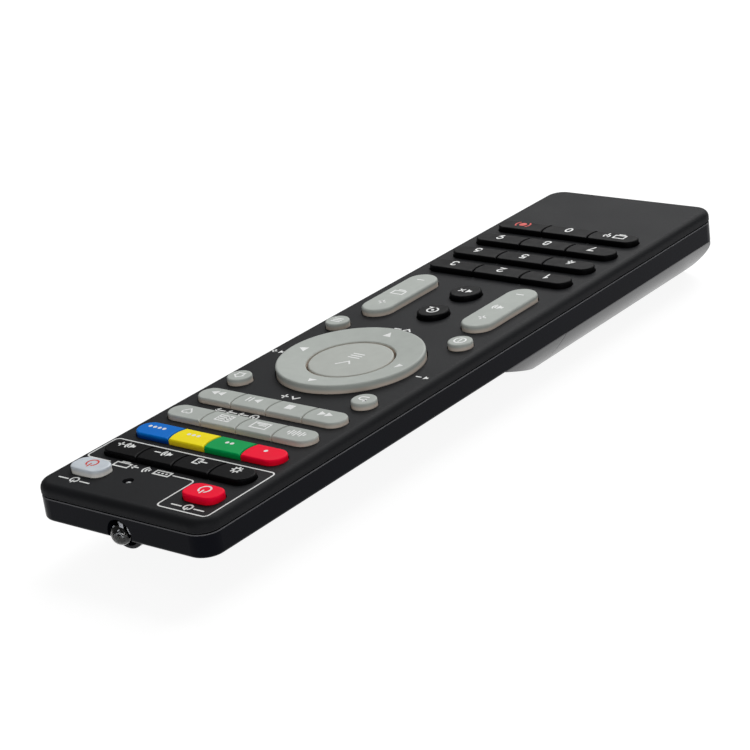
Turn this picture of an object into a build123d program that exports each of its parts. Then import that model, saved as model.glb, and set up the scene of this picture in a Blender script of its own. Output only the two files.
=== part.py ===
from build123d import *
from math import radians, sin
import os

# A slim infrared remote control for a set-top box, 200.5 mm long with its lamp and 50 mm wide.
# Millimetres, +Z up: the top face looks up, +Y is the end with the infrared lamp, and +X is the
# right side for someone who reads the keys from the tail. The origin is at the bottom centre of the
# whole object: z = 0 is the flat underside of the battery cover.

# Case
CASE_LENGTH = 199.0
CASE_WIDTH = 50.0
CASE_DEPTH = 8.55           # top face to the flat underside, outside the hump
HUMP_DEPTH = 10.5           # how far the battery hump hangs below that underside
CORNER_RADIUS = 4.8         # vertical corners of the case
TOP_EDGE_RADIUS = 1.7
UPPER_WALL = 1.8
LOWER_WALL = 1.4
UPPER_SKIRT = 2.8           # top face to the lower rim of the upper case
PARTING_GAP = 0.3           # open groove between the two rims
RIM_CHAMFER = 0.2           # on the outer edges of both rims, along the groove
LOWER_INSET = 0.05          # the lower case stands back from the upper case by this much
LOWER_SIDE_WALL = 2.1
LOWER_EDGE_RADIUS = 0.8     # along the bottom edge of the lower case, in front of the hump
LIP_WIDTH = 0.6             # lip of the lower case, standing inside the upper case
LIP_RISE = 0.7              # how far that lip reaches up past the upper rim
LIP_CLEARANCE = 0.1

# Hump
HUMP_FLAT_WIDTH = 28.0      # flat underside of the hump
HUMP_TOP_INSET = 0.1        # hump's upper edge, from the side of the case
HUMP_SIDE_RISE = 0.45       # hump's upper edge above the flat underside of the case
HUMP_RAMP_LENGTH = 25.0
HUMP_FLAT_LENGTH = 70.05    # from the foot of the ramp to the tail
HUMP_EDGE_RADIUS = 3.0
HUMP_SIDE_BULGE = 0.6       # rise of its curved sides
HUMP_TAIL_INSET = 0.1       # hump's tail end, from the tail of the case
COVER_WALL = 1.6
COVER_CLEARANCE = 0.15

# Infrared lamp
LED_RADIUS = 2.5
LED_LENGTH = 8.6
LED_FLANGE_RADIUS = 2.9
LED_FLANGE_LENGTH = 1.0
LED_PROUD = 1.5             # dome past the front of the case
LED_DROP = 7.35             # lamp's axis below the top face
LED_HOLE_CLEARANCE = 0.95
LED_LEAD = 0.5
LED_LEAD_PITCH = 2.54
LED_LEAD_RUN = 2.0          # straight length of the leads before they turn up
LED_NOTCH_MARGIN = 0.5      # board and mat stand back from the lamp by this much
LED_SEAT_CLEARANCE = 0.3
COWL_WALL = 0.6             # under the lamp
COWL_RADIUS = 5.1           # of its half-round underside
COWL_SETBACK = 2.1          # cowl's front end, from the front of the case
COWL_LENGTH = 13.0
COWL_RAMP = 6.5             # its tail end slopes up over this length

# Indicator lamp
INDICATOR_X = 4.85
INDICATOR_FROM_FRONT = 9.45
INDICATOR_RADIUS = 1.05
INDICATOR_HOLE_CLEARANCE = 0.22
INDICATOR_BASE = 3.0        # width of its square foot
INDICATOR_BASE_HEIGHT = 0.8
INDICATOR_RECESS = 0.3      # its dome under the top face

# Keys
ROW_KEY_PROUD = 1.2         # tops of the four upper rows above the top face
POWER_KEY_PROUD = 1.5
NUMBER_KEY_PROUD = 1.4
SMALL_KEY_PROUD = 1.5
ROUND_KEY_PROUD = 1.35
KEY_CLEARANCE = 0.22        # between a key and the edge of its hole
KEY_GAP = 0.25              # between two keys of a row
KEY_TRAVEL = 0.8
KEY_FLOOR_CLEARANCE = 0.15  # left between a pressed key and the mat
KEY_EDGE_RADIUS = 0.4
FLANGE_WIDTH = 0.6          # rim that keeps a key under the case
FLANGE_DROP = 0.15          # flange below the underside of the top
FLANGE_THICKNESS = 0.8
ROW_DEPTH = 6.1
ROW_WIDTH = 42.1
ROW_CURVE = 0.8             # rise of the curved cuts between keys
NUMBER_ROW_DEPTH = 5.5
NUMBER_ROW_WIDTH = 42.0
NUMBER_ROW_CURVE = 0.8
TELEVISION_ROW_FROM_FRONT = 20.1
COLOUR_ROW_FROM_FRONT = 30.2
MENU_ROW_FROM_FRONT = 40.4
PLAYER_ROW_FROM_FRONT = 50.5
NUMBER_ROW_FROM_FRONT = 137.6
NUMBER_ROW_PITCH = 10.03
FOUR_KEY_COUNT = 4          # keys of each upper row
FOUR_KEY_PITCH = 10.45
THREE_KEY_COUNT = 3         # keys of each number row
THREE_KEY_PITCH = 14.0
POWER_KEY_WIDTH = 9.4
POWER_KEY_DEPTH = 5.95
POWER_KEY_CORNER = 2.4
POWER_KEY_BULGE = 0.35      # rise of its curved front and back edges
POWER_KEY_SPREAD = 16.3     # its centre from the middle line
POWER_KEY_FROM_FRONT = 10.1
SMALL_KEY_RADIUS = 2.95
SMALL_KEY_SPREAD = 18.3
SMALL_KEY_FRONT_FROM_FRONT = 60.6
SMALL_KEY_TAIL_FROM_FRONT = 96.3
ROUND_KEY_RADIUS = 3.95
RECORDINGS_KEY_FROM_FRONT = 110.2
MUTE_KEY_FROM_FRONT = 123.4
ROUND_KEY_EDGE_RADIUS = 0.55

# Direction ring and middle key
RING_FROM_FRONT = 78.65
RING_RADIUS = 17.4
RING_INNER_RADIUS = 10.45
RING_RIM_PROUD = 2.0
RING_INNER_PROUD = 1.05
RING_EDGE_RADIUS = 0.45
RING_INNER_EDGE_RADIUS = 0.35
RING_CLEARANCE = 0.3
RING_TILT = 2.0             # degrees, each way
WEB_INNER_MARGIN = 0.3
WEB_OUTER_MARGIN = 0.2
WEB_CLEARANCE = 0.14        # left between the web and the edge of the tipped ring
WEB_FLOOR_CLEARANCE = 0.25  # left between the tipped web and the board
WEB_THICKNESS = 0.8
MIDDLE_KEY_RADIUS = 9.95
MIDDLE_KEY_PROUD = 1.0

# Rocker keys
ROCKER_LENGTH = 25.3
ROCKER_WIDTH = 8.25
ROCKER_SPREAD = 15.0
ROCKER_FROM_FRONT = 116.65
ROCKER_PROUD = 1.65
ROCKER_EDGE_RADIUS = 0.55
ROCKER_CLEARANCE = 0.3
ROCKER_TILT = 2.4           # degrees, each way
ROCKER_FLOOR_CLEARANCE = 0.25  # left between the tipped rocker and the mat

# Keypad mat and circuit board
MAT_THICKNESS = 0.8
MAT_SHEET = 0.2             # what is left of it under the keys
MAT_HOLE_MARGIN = 0.5       # mat's pockets around the flanges
MAT_SIDE_MARGIN = 3.1       # mat's edge from the side of the case
MAT_END_MARGIN = 5.8
MAT_TAIL = 100.0            # tail end of mat and board, from the middle of the ring
BOARD_THICKNESS = 1.0
BOARD_SIDE_MARGIN = 3.4
BOARD_END_MARGIN = 5.0

# Parts on the board's underside
CHIP_SIZE = 6.0
CHIP_LENGTH = 10.0
CHIP_HEIGHT = 1.1
CHIP_X = -8.0
CHIP_FROM_FRONT = 62.0
RESONATOR_SIZE = (5.0, 2.2, 1.2)
RESONATOR_X = 3.0
RESONATOR_FROM_FRONT = 60.0
CAPACITOR_RADIUS = 0.6
CAPACITOR_LENGTH = 5.0
CAPACITOR_X = 12.0
CAPACITOR_FROM_FRONT = 50.0
TRANSISTOR_SIZE = (2.9, 1.3, 1.0)
TRANSISTOR_X = 8.0
TRANSISTOR_FROM_FRONT = 18.0
RESISTOR_SIZE = (2.0, 1.25, 0.5)
RESISTOR_COUNT = 4
RESISTOR_PITCH = 4.0
RESISTOR_X = -14.0
RESISTOR_FROM_FRONT = 26.0

# Batteries and their bay
CELL_RADIUS = 5.25
CELL_LENGTH = 43.5
CELL_NIPPLE_RADIUS = 1.9
CELL_NIPPLE_LENGTH = 0.9
CELL_SPACING = 0.8          # between the two cells
CELL_SIDE_CLEARANCE = 0.3
CELL_LID_CLEARANCE = 0.2    # cells above the inside of the cover
CELL_ROOF_CLEARANCE = 0.1
BAY_WALL = 1.1
BAY_ROOF = 0.7
BAY_WALL_REACH = 4.0        # side walls below the underside of the case
BAY_END_REACH = 7.2         # end walls below the underside of the case
BAY_FRONT_MARGIN = 3.8      # foot of the ramp to the bay
CONTACT_THICKNESS = 0.3
CONTACT_WIDTH = 7.0
CONTACT_HEIGHT = 7.0
CONTACT_SPRING_REACH = 3.2  # how far a leaf spring stands off its end wall
CONTACT_PLATE_REACH = 0.6
CONTACT_PRESS = 0.05        # a contact stops short of its cell by this much
BRIDGE_WIDTH = 1.0          # strip that joins the two contacts at the tail end

# Cover rails, lugs and finger grip
RAIL_X = 15.6
RAIL_WEB = 1.0
RAIL_FOOT = 1.2
RAIL_DROP = 2.3
RAIL_FOOT_THICKNESS = 0.8
RAIL_END_MARGIN = 8.0
RAIL_CLEARANCE = 0.3
LUG_LENGTH = 8.0
LUG_THICKNESS = 0.8
GRIP_RIB_COUNT = 5
GRIP_RIB_PITCH = 2.2
GRIP_RIB_WIDTH = 0.8
GRIP_RIB_LENGTH = 14.0
GRIP_RIB_DEPTH = 0.35
GRIP_FROM_RAMP = 9.0

# Case screws
SCREW_X = 18.8
SCREW_FROM_TAIL = 12.0
SCREW_RADIUS = 1.0
SCREW_HEAD_RADIUS = 1.9
SCREW_HEAD_HEIGHT = 1.0
SCREW_LENGTH = 4.6
SCREW_CLEARANCE = 0.2
THREAD_CLEARANCE = 0.02
BOSS_RADIUS = 2.6
SCREW_SLOT = 0.5
SCREW_SLOT_DEPTH = 0.5

# Modelling allowances
OVERRUN = 1.0               # how far a cutting shape runs past the face it cuts
SAME_PLACE = 0.01           # edges this close to a height or radius count as lying on it
PILL_TRIM = 0.001           # keeps the round end of a pill just short of a half circle

# Places that follow from the sizes above
KEY_BASE_DROP = UPPER_WALL + FLANGE_DROP + FLANGE_THICKNESS
BOARD_DROP = KEY_BASE_DROP + KEY_TRAVEL + KEY_FLOOR_CLEARANCE + MAT_SHEET
RING_SWING = RING_RADIUS * sin(radians(RING_TILT))
WEB_DROP = RING_SWING + WEB_CLEARANCE
RING_SKIRT = BOARD_DROP - WEB_DROP - WEB_THICKNESS - RING_SWING - WEB_FLOOR_CLEARANCE
ROCKER_SWING = ROCKER_LENGTH / 2 * sin(radians(ROCKER_TILT))
ROCKER_SKIRT = BOARD_DROP - MAT_SHEET - ROCKER_SWING - ROCKER_FLOOR_CLEARANCE
TOP_Z = CASE_DEPTH + HUMP_DEPTH
FLOOR_Z = HUMP_DEPTH
SIDE_Z = FLOOR_Z + HUMP_SIDE_RISE
FRONT_Y = (CASE_LENGTH - LED_PROUD) / 2
TAIL_Y = FRONT_Y - CASE_LENGTH
HALF_WIDTH = CASE_WIDTH / 2
RING_Y = FRONT_Y - RING_FROM_FRONT
UPPER_RIM_Z = TOP_Z - UPPER_SKIRT
LOWER_RIM_Z = UPPER_RIM_Z - PARTING_GAP
ROOF_Z = TOP_Z - UPPER_WALL
KEY_BASE_Z = TOP_Z - KEY_BASE_DROP
BOARD_TOP_Z = TOP_Z - BOARD_DROP
BOARD_BOTTOM_Z = BOARD_TOP_Z - BOARD_THICKNESS
HUMP_TAIL_Y = TAIL_Y + HUMP_TAIL_INSET
RAMP_FOOT_Y = HUMP_TAIL_Y + HUMP_FLAT_LENGTH
CELL_Z = COVER_WALL + CELL_LID_CLEARANCE + CELL_RADIUS
CELL_X = CELL_RADIUS + CELL_SPACING / 2
BAY_HALF_WIDTH = CELL_X + CELL_RADIUS + CELL_SIDE_CLEARANCE
BAY_FRONT_Y = RAMP_FOOT_Y - BAY_FRONT_MARGIN
BAY_LENGTH = CELL_LENGTH + CELL_NIPPLE_LENGTH + CONTACT_SPRING_REACH + CONTACT_PLATE_REACH
BAY_TAIL_Y = BAY_FRONT_Y - BAY_LENGTH
BAY_ROOF_Z = CELL_Z + CELL_RADIUS + CELL_ROOF_CLEARANCE


def rounded_box(width, length, radius, low, high, center_y):
    """A box with rounded vertical corners between two heights."""
    plan = Pos(0, center_y, low) * RectangleRounded(width, length, radius)
    return extrude(plan, high - low)


def plain_box(x_low, x_high, y_low, y_high, z_low, z_high):
    """A box given by its limits."""
    size = Box(x_high - x_low, y_high - y_low, z_high - z_low)
    return Pos((x_low + x_high) / 2, (y_low + y_high) / 2, (z_low + z_high) / 2) * size


def upright(radius, low, high, x, y):
    """A vertical cylinder between two heights."""
    return Pos(x, y, (low + high) / 2) * Cylinder(radius, high - low)


def along_y(radius, y_low, y_high, x, z):
    """A cylinder along the length of the remote."""
    return Pos(x, (y_low + y_high) / 2, z) * Rot(90, 0, 0) * Cylinder(radius, y_high - y_low)


def from_front(distance):
    """Y of a place that is measured from the front of the case."""
    return FRONT_Y - distance


# Plans of the keys

def pill_plan(width, depth, grow):
    """A row or rocker plan with full round ends, grown outwards by a margin."""
    return RectangleRounded(width + 2 * grow, depth + 2 * grow, (depth + 2 * grow) / 2 - PILL_TRIM)


def power_plan(grow):
    """The barrel plan of a power key: straight sides, slightly curved front and back."""
    half_width = POWER_KEY_WIDTH / 2 + grow
    half_depth = POWER_KEY_DEPTH / 2 + grow
    edge = half_depth - POWER_KEY_BULGE
    outline = Wire([
        ThreePointArc((-half_width, edge), (0, half_depth), (half_width, edge)),
        Line((half_width, edge), (half_width, -edge)),
        ThreePointArc((half_width, -edge), (0, -half_depth), (-half_width, -edge)),
        Line((-half_width, -edge), (-half_width, edge)),
    ])
    plan = make_face(outline)
    return fillet(plan.vertices(), POWER_KEY_CORNER + grow)


def row_cut_places(count, pitch):
    """X of the middle of each curved cut in a row."""
    return [(index - count / 2) * pitch for index in range(1, count)]


def row_cutters(count, pitch, depth, curve, low, high):
    """Thin curved walls that part a row into keys, each bulging towards +X."""
    radius = (depth * depth / 4 + curve * curve) / (2 * curve)
    reach = depth / 2 + FLANGE_WIDTH + MAT_HOLE_MARGIN
    cutters = []
    for place in row_cut_places(count, pitch):
        center = place - radius
        ring = Circle(radius + KEY_GAP / 2) - Circle(radius - KEY_GAP / 2)
        side = Pos(radius, 0) * Rectangle(2 * radius, 4 * radius)
        arc = ring & side
        if reach > radius:
            run = 2 * (reach - radius)
            stem = Rectangle(KEY_GAP, run)
            arc = arc + Pos(KEY_GAP / 2, radius) * stem + Pos(KEY_GAP / 2, -radius) * stem
        cutters.append(extrude(Pos(center, 0, low) * arc, high - low))
    return cutters


def softened(solid, radius, top):
    """Round the upper edges of a key."""
    edges = [edge for edge in solid.edges() if edge.bounding_box().min.Z > top - SAME_PLACE]
    return solid.fillet(radius, edges)


def key_body(plan, flange_plan, proud):
    """A key cap with the flange that holds it under the case."""
    cap = extrude(Pos(0, 0, KEY_BASE_Z) * plan, TOP_Z + proud - KEY_BASE_Z)
    flange = extrude(Pos(0, 0, KEY_BASE_Z) * flange_plan, FLANGE_THICKNESS)
    return cap + flange


def row_keys(count, pitch, width, depth, curve, proud, center_y):
    """The separate keys of one row, from -X to +X."""
    row = key_body(pill_plan(width, depth, 0), pill_plan(width, depth, FLANGE_WIDTH), proud)
    top = TOP_Z + proud
    for cutter in row_cutters(count, pitch, depth, curve, KEY_BASE_Z - OVERRUN, top + OVERRUN):
        row = row - cutter
    keys = sorted(row.solids(), key=lambda solid: solid.center().X)
    return [Pos(0, center_y, 0) * softened(key, KEY_EDGE_RADIUS, top) for key in keys]


def power_key(side):
    """A power key on one side of the middle line."""
    key = key_body(power_plan(0), power_plan(FLANGE_WIDTH), POWER_KEY_PROUD)
    key = softened(key, KEY_EDGE_RADIUS, TOP_Z + POWER_KEY_PROUD)
    return Pos(side * POWER_KEY_SPREAD, from_front(POWER_KEY_FROM_FRONT), 0) * key


def round_key(radius, proud, edge_radius, x, y):
    """A round key."""
    key = key_body(Circle(radius), Circle(radius + FLANGE_WIDTH), proud)
    return Pos(x, y, 0) * softened(key, edge_radius, TOP_Z + proud)


def rocker_key(side):
    """A long key that tips about its middle."""
    low = TOP_Z - ROCKER_SKIRT
    plan = Rot(0, 0, 90) * pill_plan(ROCKER_LENGTH, ROCKER_WIDTH, 0)
    key = extrude(Pos(0, 0, low) * plan, ROCKER_SKIRT + ROCKER_PROUD)
    key = softened(key, ROCKER_EDGE_RADIUS, TOP_Z + ROCKER_PROUD)
    return Pos(side * ROCKER_SPREAD, from_front(ROCKER_FROM_FRONT), 0) * key


def direction_ring():
    """The direction ring: its face falls gently towards the middle key."""
    profile = Polyline(
        (RING_INNER_RADIUS, -RING_SKIRT),
        (RING_RADIUS, -RING_SKIRT),
        (RING_RADIUS, RING_RIM_PROUD),
        (RING_INNER_RADIUS, RING_INNER_PROUD),
        close=True,
    )
    face = make_face(Plane.XZ * profile)
    ring = revolve(face, Axis.Z)
    rim = [edge for edge in ring.edges() if edge.bounding_box().min.Z > RING_RIM_PROUD - SAME_PLACE]
    ring = fillet(rim, RING_EDGE_RADIUS)
    inner = [edge for edge in ring.edges() if edge.bounding_box().max.X < RING_INNER_RADIUS + SAME_PLACE]
    inner = [edge for edge in inner if edge.bounding_box().min.Z > RING_INNER_PROUD - SAME_PLACE]
    ring = fillet(inner, RING_INNER_EDGE_RADIUS)
    return Pos(0, RING_Y, TOP_Z) * ring


def ring_web():
    """The rubber web under the direction ring, which lets the ring tip sideways."""
    high = TOP_Z - RING_SKIRT - WEB_DROP
    low = high - WEB_THICKNESS
    web = upright(RING_RADIUS - WEB_OUTER_MARGIN, low, high, 0, RING_Y)
    return web - upright(RING_INNER_RADIUS + WEB_INNER_MARGIN, low, high, 0, RING_Y)


def middle_key():
    """The large round key inside the ring."""
    key = upright(MIDDLE_KEY_RADIUS, KEY_BASE_Z, TOP_Z + MIDDLE_KEY_PROUD, 0, RING_Y)
    return softened(key, KEY_EDGE_RADIUS, TOP_Z + MIDDLE_KEY_PROUD)


# Openings of the keys

def key_openings(extra, low, high):
    """Every key's opening, grown past the key by a margin, between two heights."""
    cuts = []

    def add(plan, x, y):
        cuts.append(extrude(Pos(x, y, low) * plan, high - low))

    row = pill_plan(ROW_WIDTH, ROW_DEPTH, KEY_CLEARANCE + extra)
    for place in FOUR_KEY_ROWS.values():
        add(row, 0, from_front(place))
    number_row = pill_plan(NUMBER_ROW_WIDTH, NUMBER_ROW_DEPTH, KEY_CLEARANCE + extra)
    for index in range(len(NUMBER_NAMES)):
        add(number_row, 0, from_front(NUMBER_ROW_FROM_FRONT + index * NUMBER_ROW_PITCH))
    for side in (-1, 1):
        add(power_plan(KEY_CLEARANCE + extra), side * POWER_KEY_SPREAD, from_front(POWER_KEY_FROM_FRONT))
        rocker = Rot(0, 0, 90) * pill_plan(ROCKER_LENGTH, ROCKER_WIDTH, ROCKER_CLEARANCE + extra)
        add(rocker, side * ROCKER_SPREAD, from_front(ROCKER_FROM_FRONT))
        for place in (SMALL_KEY_FRONT_FROM_FRONT, SMALL_KEY_TAIL_FROM_FRONT):
            small = Circle(SMALL_KEY_RADIUS + KEY_CLEARANCE + extra)
            add(small, side * SMALL_KEY_SPREAD, from_front(place))
    for place in (RECORDINGS_KEY_FROM_FRONT, MUTE_KEY_FROM_FRONT):
        add(Circle(ROUND_KEY_RADIUS + KEY_CLEARANCE + extra), 0, from_front(place))
    add(Circle(RING_RADIUS + RING_CLEARANCE + extra), 0, RING_Y)
    return cuts


FOUR_KEY_ROWS = {
    "television": TELEVISION_ROW_FROM_FRONT,
    "colour": COLOUR_ROW_FROM_FRONT,
    "menu": MENU_ROW_FROM_FRONT,
    "player": PLAYER_ROW_FROM_FRONT,
}


# Case

def screw_places():
    """The two case screws, under the battery cover."""
    return [(side * SCREW_X, TAIL_Y + SCREW_FROM_TAIL) for side in (-1, 1)]


def upper_case():
    """The top shell with its key openings."""
    center_y = (FRONT_Y + TAIL_Y) / 2
    shell = rounded_box(CASE_WIDTH, CASE_LENGTH, CORNER_RADIUS, UPPER_RIM_Z, TOP_Z, center_y)
    top_edges = [edge for edge in shell.edges() if edge.bounding_box().min.Z > TOP_Z - SAME_PLACE]
    shell = fillet(top_edges, TOP_EDGE_RADIUS)
    rim = [edge for edge in shell.edges() if edge.bounding_box().max.Z < UPPER_RIM_Z + SAME_PLACE]
    shell = chamfer(rim, RIM_CHAMFER)
    inner_radius = CORNER_RADIUS - UPPER_WALL
    inner = rounded_box(
        CASE_WIDTH - 2 * UPPER_WALL, CASE_LENGTH - 2 * UPPER_WALL, inner_radius,
        UPPER_RIM_Z - OVERRUN, ROOF_Z, center_y)
    shell = shell - inner
    for x, y in screw_places():
        shell = shell + upright(BOSS_RADIUS, FLOOR_Z + LOWER_WALL + SCREW_CLEARANCE, ROOF_Z, x, y)
        shell = shell - upright(SCREW_RADIUS + THREAD_CLEARANCE, FLOOR_Z, ROOF_Z, x, y)
    for cut in key_openings(0, ROOF_Z - OVERRUN, TOP_Z + OVERRUN):
        shell = shell - cut
    hole = INDICATOR_RADIUS + INDICATOR_HOLE_CLEARANCE
    place_y = from_front(INDICATOR_FROM_FRONT)
    return shell - upright(hole, ROOF_Z - OVERRUN, TOP_Z + OVERRUN, INDICATOR_X, place_y)


def hump_solid(shrink, top_z):
    """The battery hump with its ramp, shrunk inwards by a wall."""
    low = shrink
    half_flat = HUMP_FLAT_WIDTH / 2 - shrink / 2
    half_top = HALF_WIDTH - HUMP_TOP_INSET - shrink
    middle = ((half_top + half_flat) / 2 + HUMP_SIDE_BULGE, (SIDE_Z + low) / 2 - HUMP_SIDE_BULGE)
    section = Wire([
        ThreePointArc((-half_top, SIDE_Z), (-middle[0], middle[1]), (-half_flat, low)),
        Line((-half_flat, low), (half_flat, low)),
        ThreePointArc((half_flat, low), middle, (half_top, SIDE_Z)),
        Line((half_top, SIDE_Z), (half_top, top_z)),
        Line((half_top, top_z), (-half_top, top_z)),
        Line((-half_top, top_z), (-half_top, SIDE_Z)),
    ])
    section_face = make_face(section)
    corners = [vertex for vertex in section_face.vertices() if abs(vertex.Y - low) < SAME_PLACE]
    section_face = fillet(corners, HUMP_EDGE_RADIUS)
    length = HUMP_FLAT_LENGTH + HUMP_RAMP_LENGTH
    across = extrude(Plane.XZ.offset(-(HUMP_TAIL_Y + length)) * section_face, length)
    slope = HUMP_RAMP_LENGTH / HUMP_DEPTH
    tail = HUMP_TAIL_Y + shrink
    foot = RAMP_FOOT_Y - shrink / 2
    ramp_top = foot + slope * (FLOOR_Z - low)
    side = Polyline(
        (tail, top_z), (tail, low), (foot, low), (ramp_top, FLOOR_Z), (ramp_top, top_z), close=True)
    along = extrude(Plane.YZ.offset(-HALF_WIDTH) * make_face(side), CASE_WIDTH)
    plan = rounded_box(
        2 * half_top, FRONT_Y - tail, CORNER_RADIUS - HUMP_TOP_INSET - shrink / 2,
        low, top_z, (FRONT_Y + tail) / 2)
    return across & along & plan


def lower_shell_block():
    """The lower case's outside: chamfered rim, rounded bottom edge, and a step for the cover's edge."""
    center_y = (FRONT_Y + TAIL_Y) / 2
    block = rounded_box(
        CASE_WIDTH - 2 * LOWER_INSET, CASE_LENGTH - 2 * LOWER_INSET, CORNER_RADIUS - LOWER_INSET,
        FLOOR_Z, LOWER_RIM_Z, center_y)
    rim = [edge for edge in block.edges() if edge.bounding_box().min.Z > LOWER_RIM_Z - SAME_PLACE]
    block = chamfer(rim, RIM_CHAMFER)
    bottom = [edge for edge in block.edges() if edge.bounding_box().max.Z < FLOOR_Z + SAME_PLACE]
    rounded = fillet(bottom, LOWER_EDGE_RADIUS)
    ramp_top_y = RAMP_FOOT_Y + HUMP_RAMP_LENGTH
    ahead = plain_box(-CASE_WIDTH, CASE_WIDTH, ramp_top_y, FRONT_Y, FLOOR_Z, TOP_Z)
    behind = plain_box(-CASE_WIDTH, CASE_WIDTH, TAIL_Y, ramp_top_y, SIDE_Z, TOP_Z)
    step = hump_solid(COVER_WALL + COVER_CLEARANCE, SIDE_Z + LOWER_WALL / 2)
    step = step & plain_box(-CASE_WIDTH, CASE_WIDTH, TAIL_Y, ramp_top_y, FLOOR_Z, TOP_Z)
    return (rounded & ahead) + (block & behind) + step


def infrared_cowl():
    """The half-round cowl around the infrared lamp, under the front of the case."""
    low_z = TOP_Z - LED_DROP - LED_RADIUS - LED_HOLE_CLEARANCE - COWL_WALL
    high_y = FRONT_Y - COWL_SETBACK
    low_y = high_y - COWL_LENGTH
    tube = along_y(COWL_RADIUS, low_y, high_y, 0, low_z + COWL_RADIUS)
    below = plain_box(-COWL_RADIUS, COWL_RADIUS, low_y, high_y, low_z, FLOOR_Z + LOWER_WALL / 2)
    slope = Polyline((low_y, FLOOR_Z), (low_y, low_z), (low_y + COWL_RAMP, low_z), close=True)
    ramp = extrude(Plane.YZ.offset(-COWL_RADIUS) * make_face(slope), 2 * COWL_RADIUS)
    return (tube & below) - ramp


def cover_rails():
    """The two rails under the case that hold the battery cover."""
    rails = []
    y_low = HUMP_TAIL_Y + RAIL_END_MARGIN
    y_high = RAMP_FOOT_Y - RAIL_END_MARGIN
    foot_low = FLOOR_Z - RAIL_DROP
    for side in (-1, 1):
        web = sorted((side * RAIL_X, side * (RAIL_X + RAIL_WEB)))
        foot = sorted((side * RAIL_X, side * (RAIL_X + RAIL_WEB + RAIL_FOOT)))
        rails.append(plain_box(web[0], web[1], y_low, y_high, foot_low, FLOOR_Z + LOWER_WALL / 2))
        rails.append(plain_box(foot[0], foot[1], y_low, y_high, foot_low, foot_low + RAIL_FOOT_THICKNESS))
    return rails


def battery_bay():
    """Walls and roof of the battery bay, and the space inside them."""
    x_out = BAY_HALF_WIDTH + BAY_WALL
    roof = BAY_ROOF_Z + BAY_ROOF
    front = BAY_FRONT_Y + BAY_WALL
    tail = BAY_TAIL_Y - BAY_WALL
    sides_low = FLOOR_Z - BAY_WALL_REACH
    ends_low = FLOOR_Z - BAY_END_REACH
    walls = plain_box(-x_out, x_out, tail, front, sides_low, roof)
    walls = walls + plain_box(-x_out, x_out, tail, BAY_TAIL_Y, ends_low, roof)
    walls = walls + plain_box(-x_out, x_out, BAY_FRONT_Y, front, ends_low, roof)
    space = plain_box(-BAY_HALF_WIDTH, BAY_HALF_WIDTH, BAY_TAIL_Y, BAY_FRONT_Y, 0, BAY_ROOF_Z)
    return walls, space


def lower_case():
    """The bottom shell with its ramp, battery bay, cowl and cover rails."""
    outer = lower_shell_block()
    inset = LOWER_INSET + LOWER_SIDE_WALL
    center_y = (FRONT_Y + TAIL_Y) / 2
    inner = rounded_box(
        CASE_WIDTH - 2 * inset, CASE_LENGTH - 2 * inset, CORNER_RADIUS - inset,
        FLOOR_Z + LOWER_WALL, TOP_Z, center_y)
    lip_out = UPPER_WALL + LIP_CLEARANCE
    lip_in = lip_out + LIP_WIDTH
    lip_top = UPPER_RIM_Z + LIP_RISE
    lip = rounded_box(
        CASE_WIDTH - 2 * lip_out, CASE_LENGTH - 2 * lip_out, CORNER_RADIUS - lip_out,
        FLOOR_Z + LOWER_WALL / 2, lip_top, center_y)
    lip = lip - rounded_box(
        CASE_WIDTH - 2 * lip_in, CASE_LENGTH - 2 * lip_in, CORNER_RADIUS - lip_in,
        FLOOR_Z, TOP_Z, center_y)
    fixed_ramp = plain_box(-HALF_WIDTH, HALF_WIDTH, RAMP_FOOT_Y, FRONT_Y, 0, FLOOR_Z + LOWER_WALL)
    bulkhead = plain_box(-HALF_WIDTH, HALF_WIDTH, RAMP_FOOT_Y, RAMP_FOOT_Y + LOWER_WALL, 0, TOP_Z)
    ramp = hump_solid(0, FLOOR_Z + LOWER_WALL) & fixed_ramp
    ramp_space = (hump_solid(LOWER_WALL, FLOOR_Z + 2 * LOWER_WALL) & plain_box(
        -HALF_WIDTH, HALF_WIDTH, RAMP_FOOT_Y, FRONT_Y, 0, TOP_Z)) - bulkhead
    shell = outer + ramp + infrared_cowl() - inner - ramp_space + lip
    for rail in cover_rails():
        shell = shell + rail
    walls, space = battery_bay()
    shell = shell + walls - space
    for x, y in screw_places():
        shell = shell + upright(BOSS_RADIUS, FLOOR_Z, FLOOR_Z + LOWER_WALL, x, y)
        shell = shell - upright(SCREW_RADIUS + SCREW_CLEARANCE, 0, FLOOR_Z + LOWER_WALL + OVERRUN, x, y)
        head = SCREW_HEAD_RADIUS + SCREW_CLEARANCE
        shell = shell - upright(head, 0, FLOOR_Z + SCREW_HEAD_HEIGHT, x, y)
    for cut in lamp_space():
        shell = shell - cut
    return shell


def lamp_space():
    """The room in the lower case for the infrared lamp and for its leads."""
    axis_z = TOP_Z - LED_DROP
    hole = LED_RADIUS + LED_HOLE_CLEARANCE
    back = FRONT_Y + LED_PROUD - LED_LENGTH
    bore = along_y(hole, back - LED_SEAT_CLEARANCE, FRONT_Y + OVERRUN, 0, axis_z)
    half = (LED_LEAD_PITCH + LED_LEAD) / 2 + LED_SEAT_CLEARANCE
    low = axis_z - LED_LEAD / 2 - LED_SEAT_CLEARANCE
    tail = back - LED_LEAD_RUN - LED_LEAD - LED_SEAT_CLEARANCE
    return [bore, plain_box(-half, half, tail, back, low, TOP_Z)]


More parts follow.
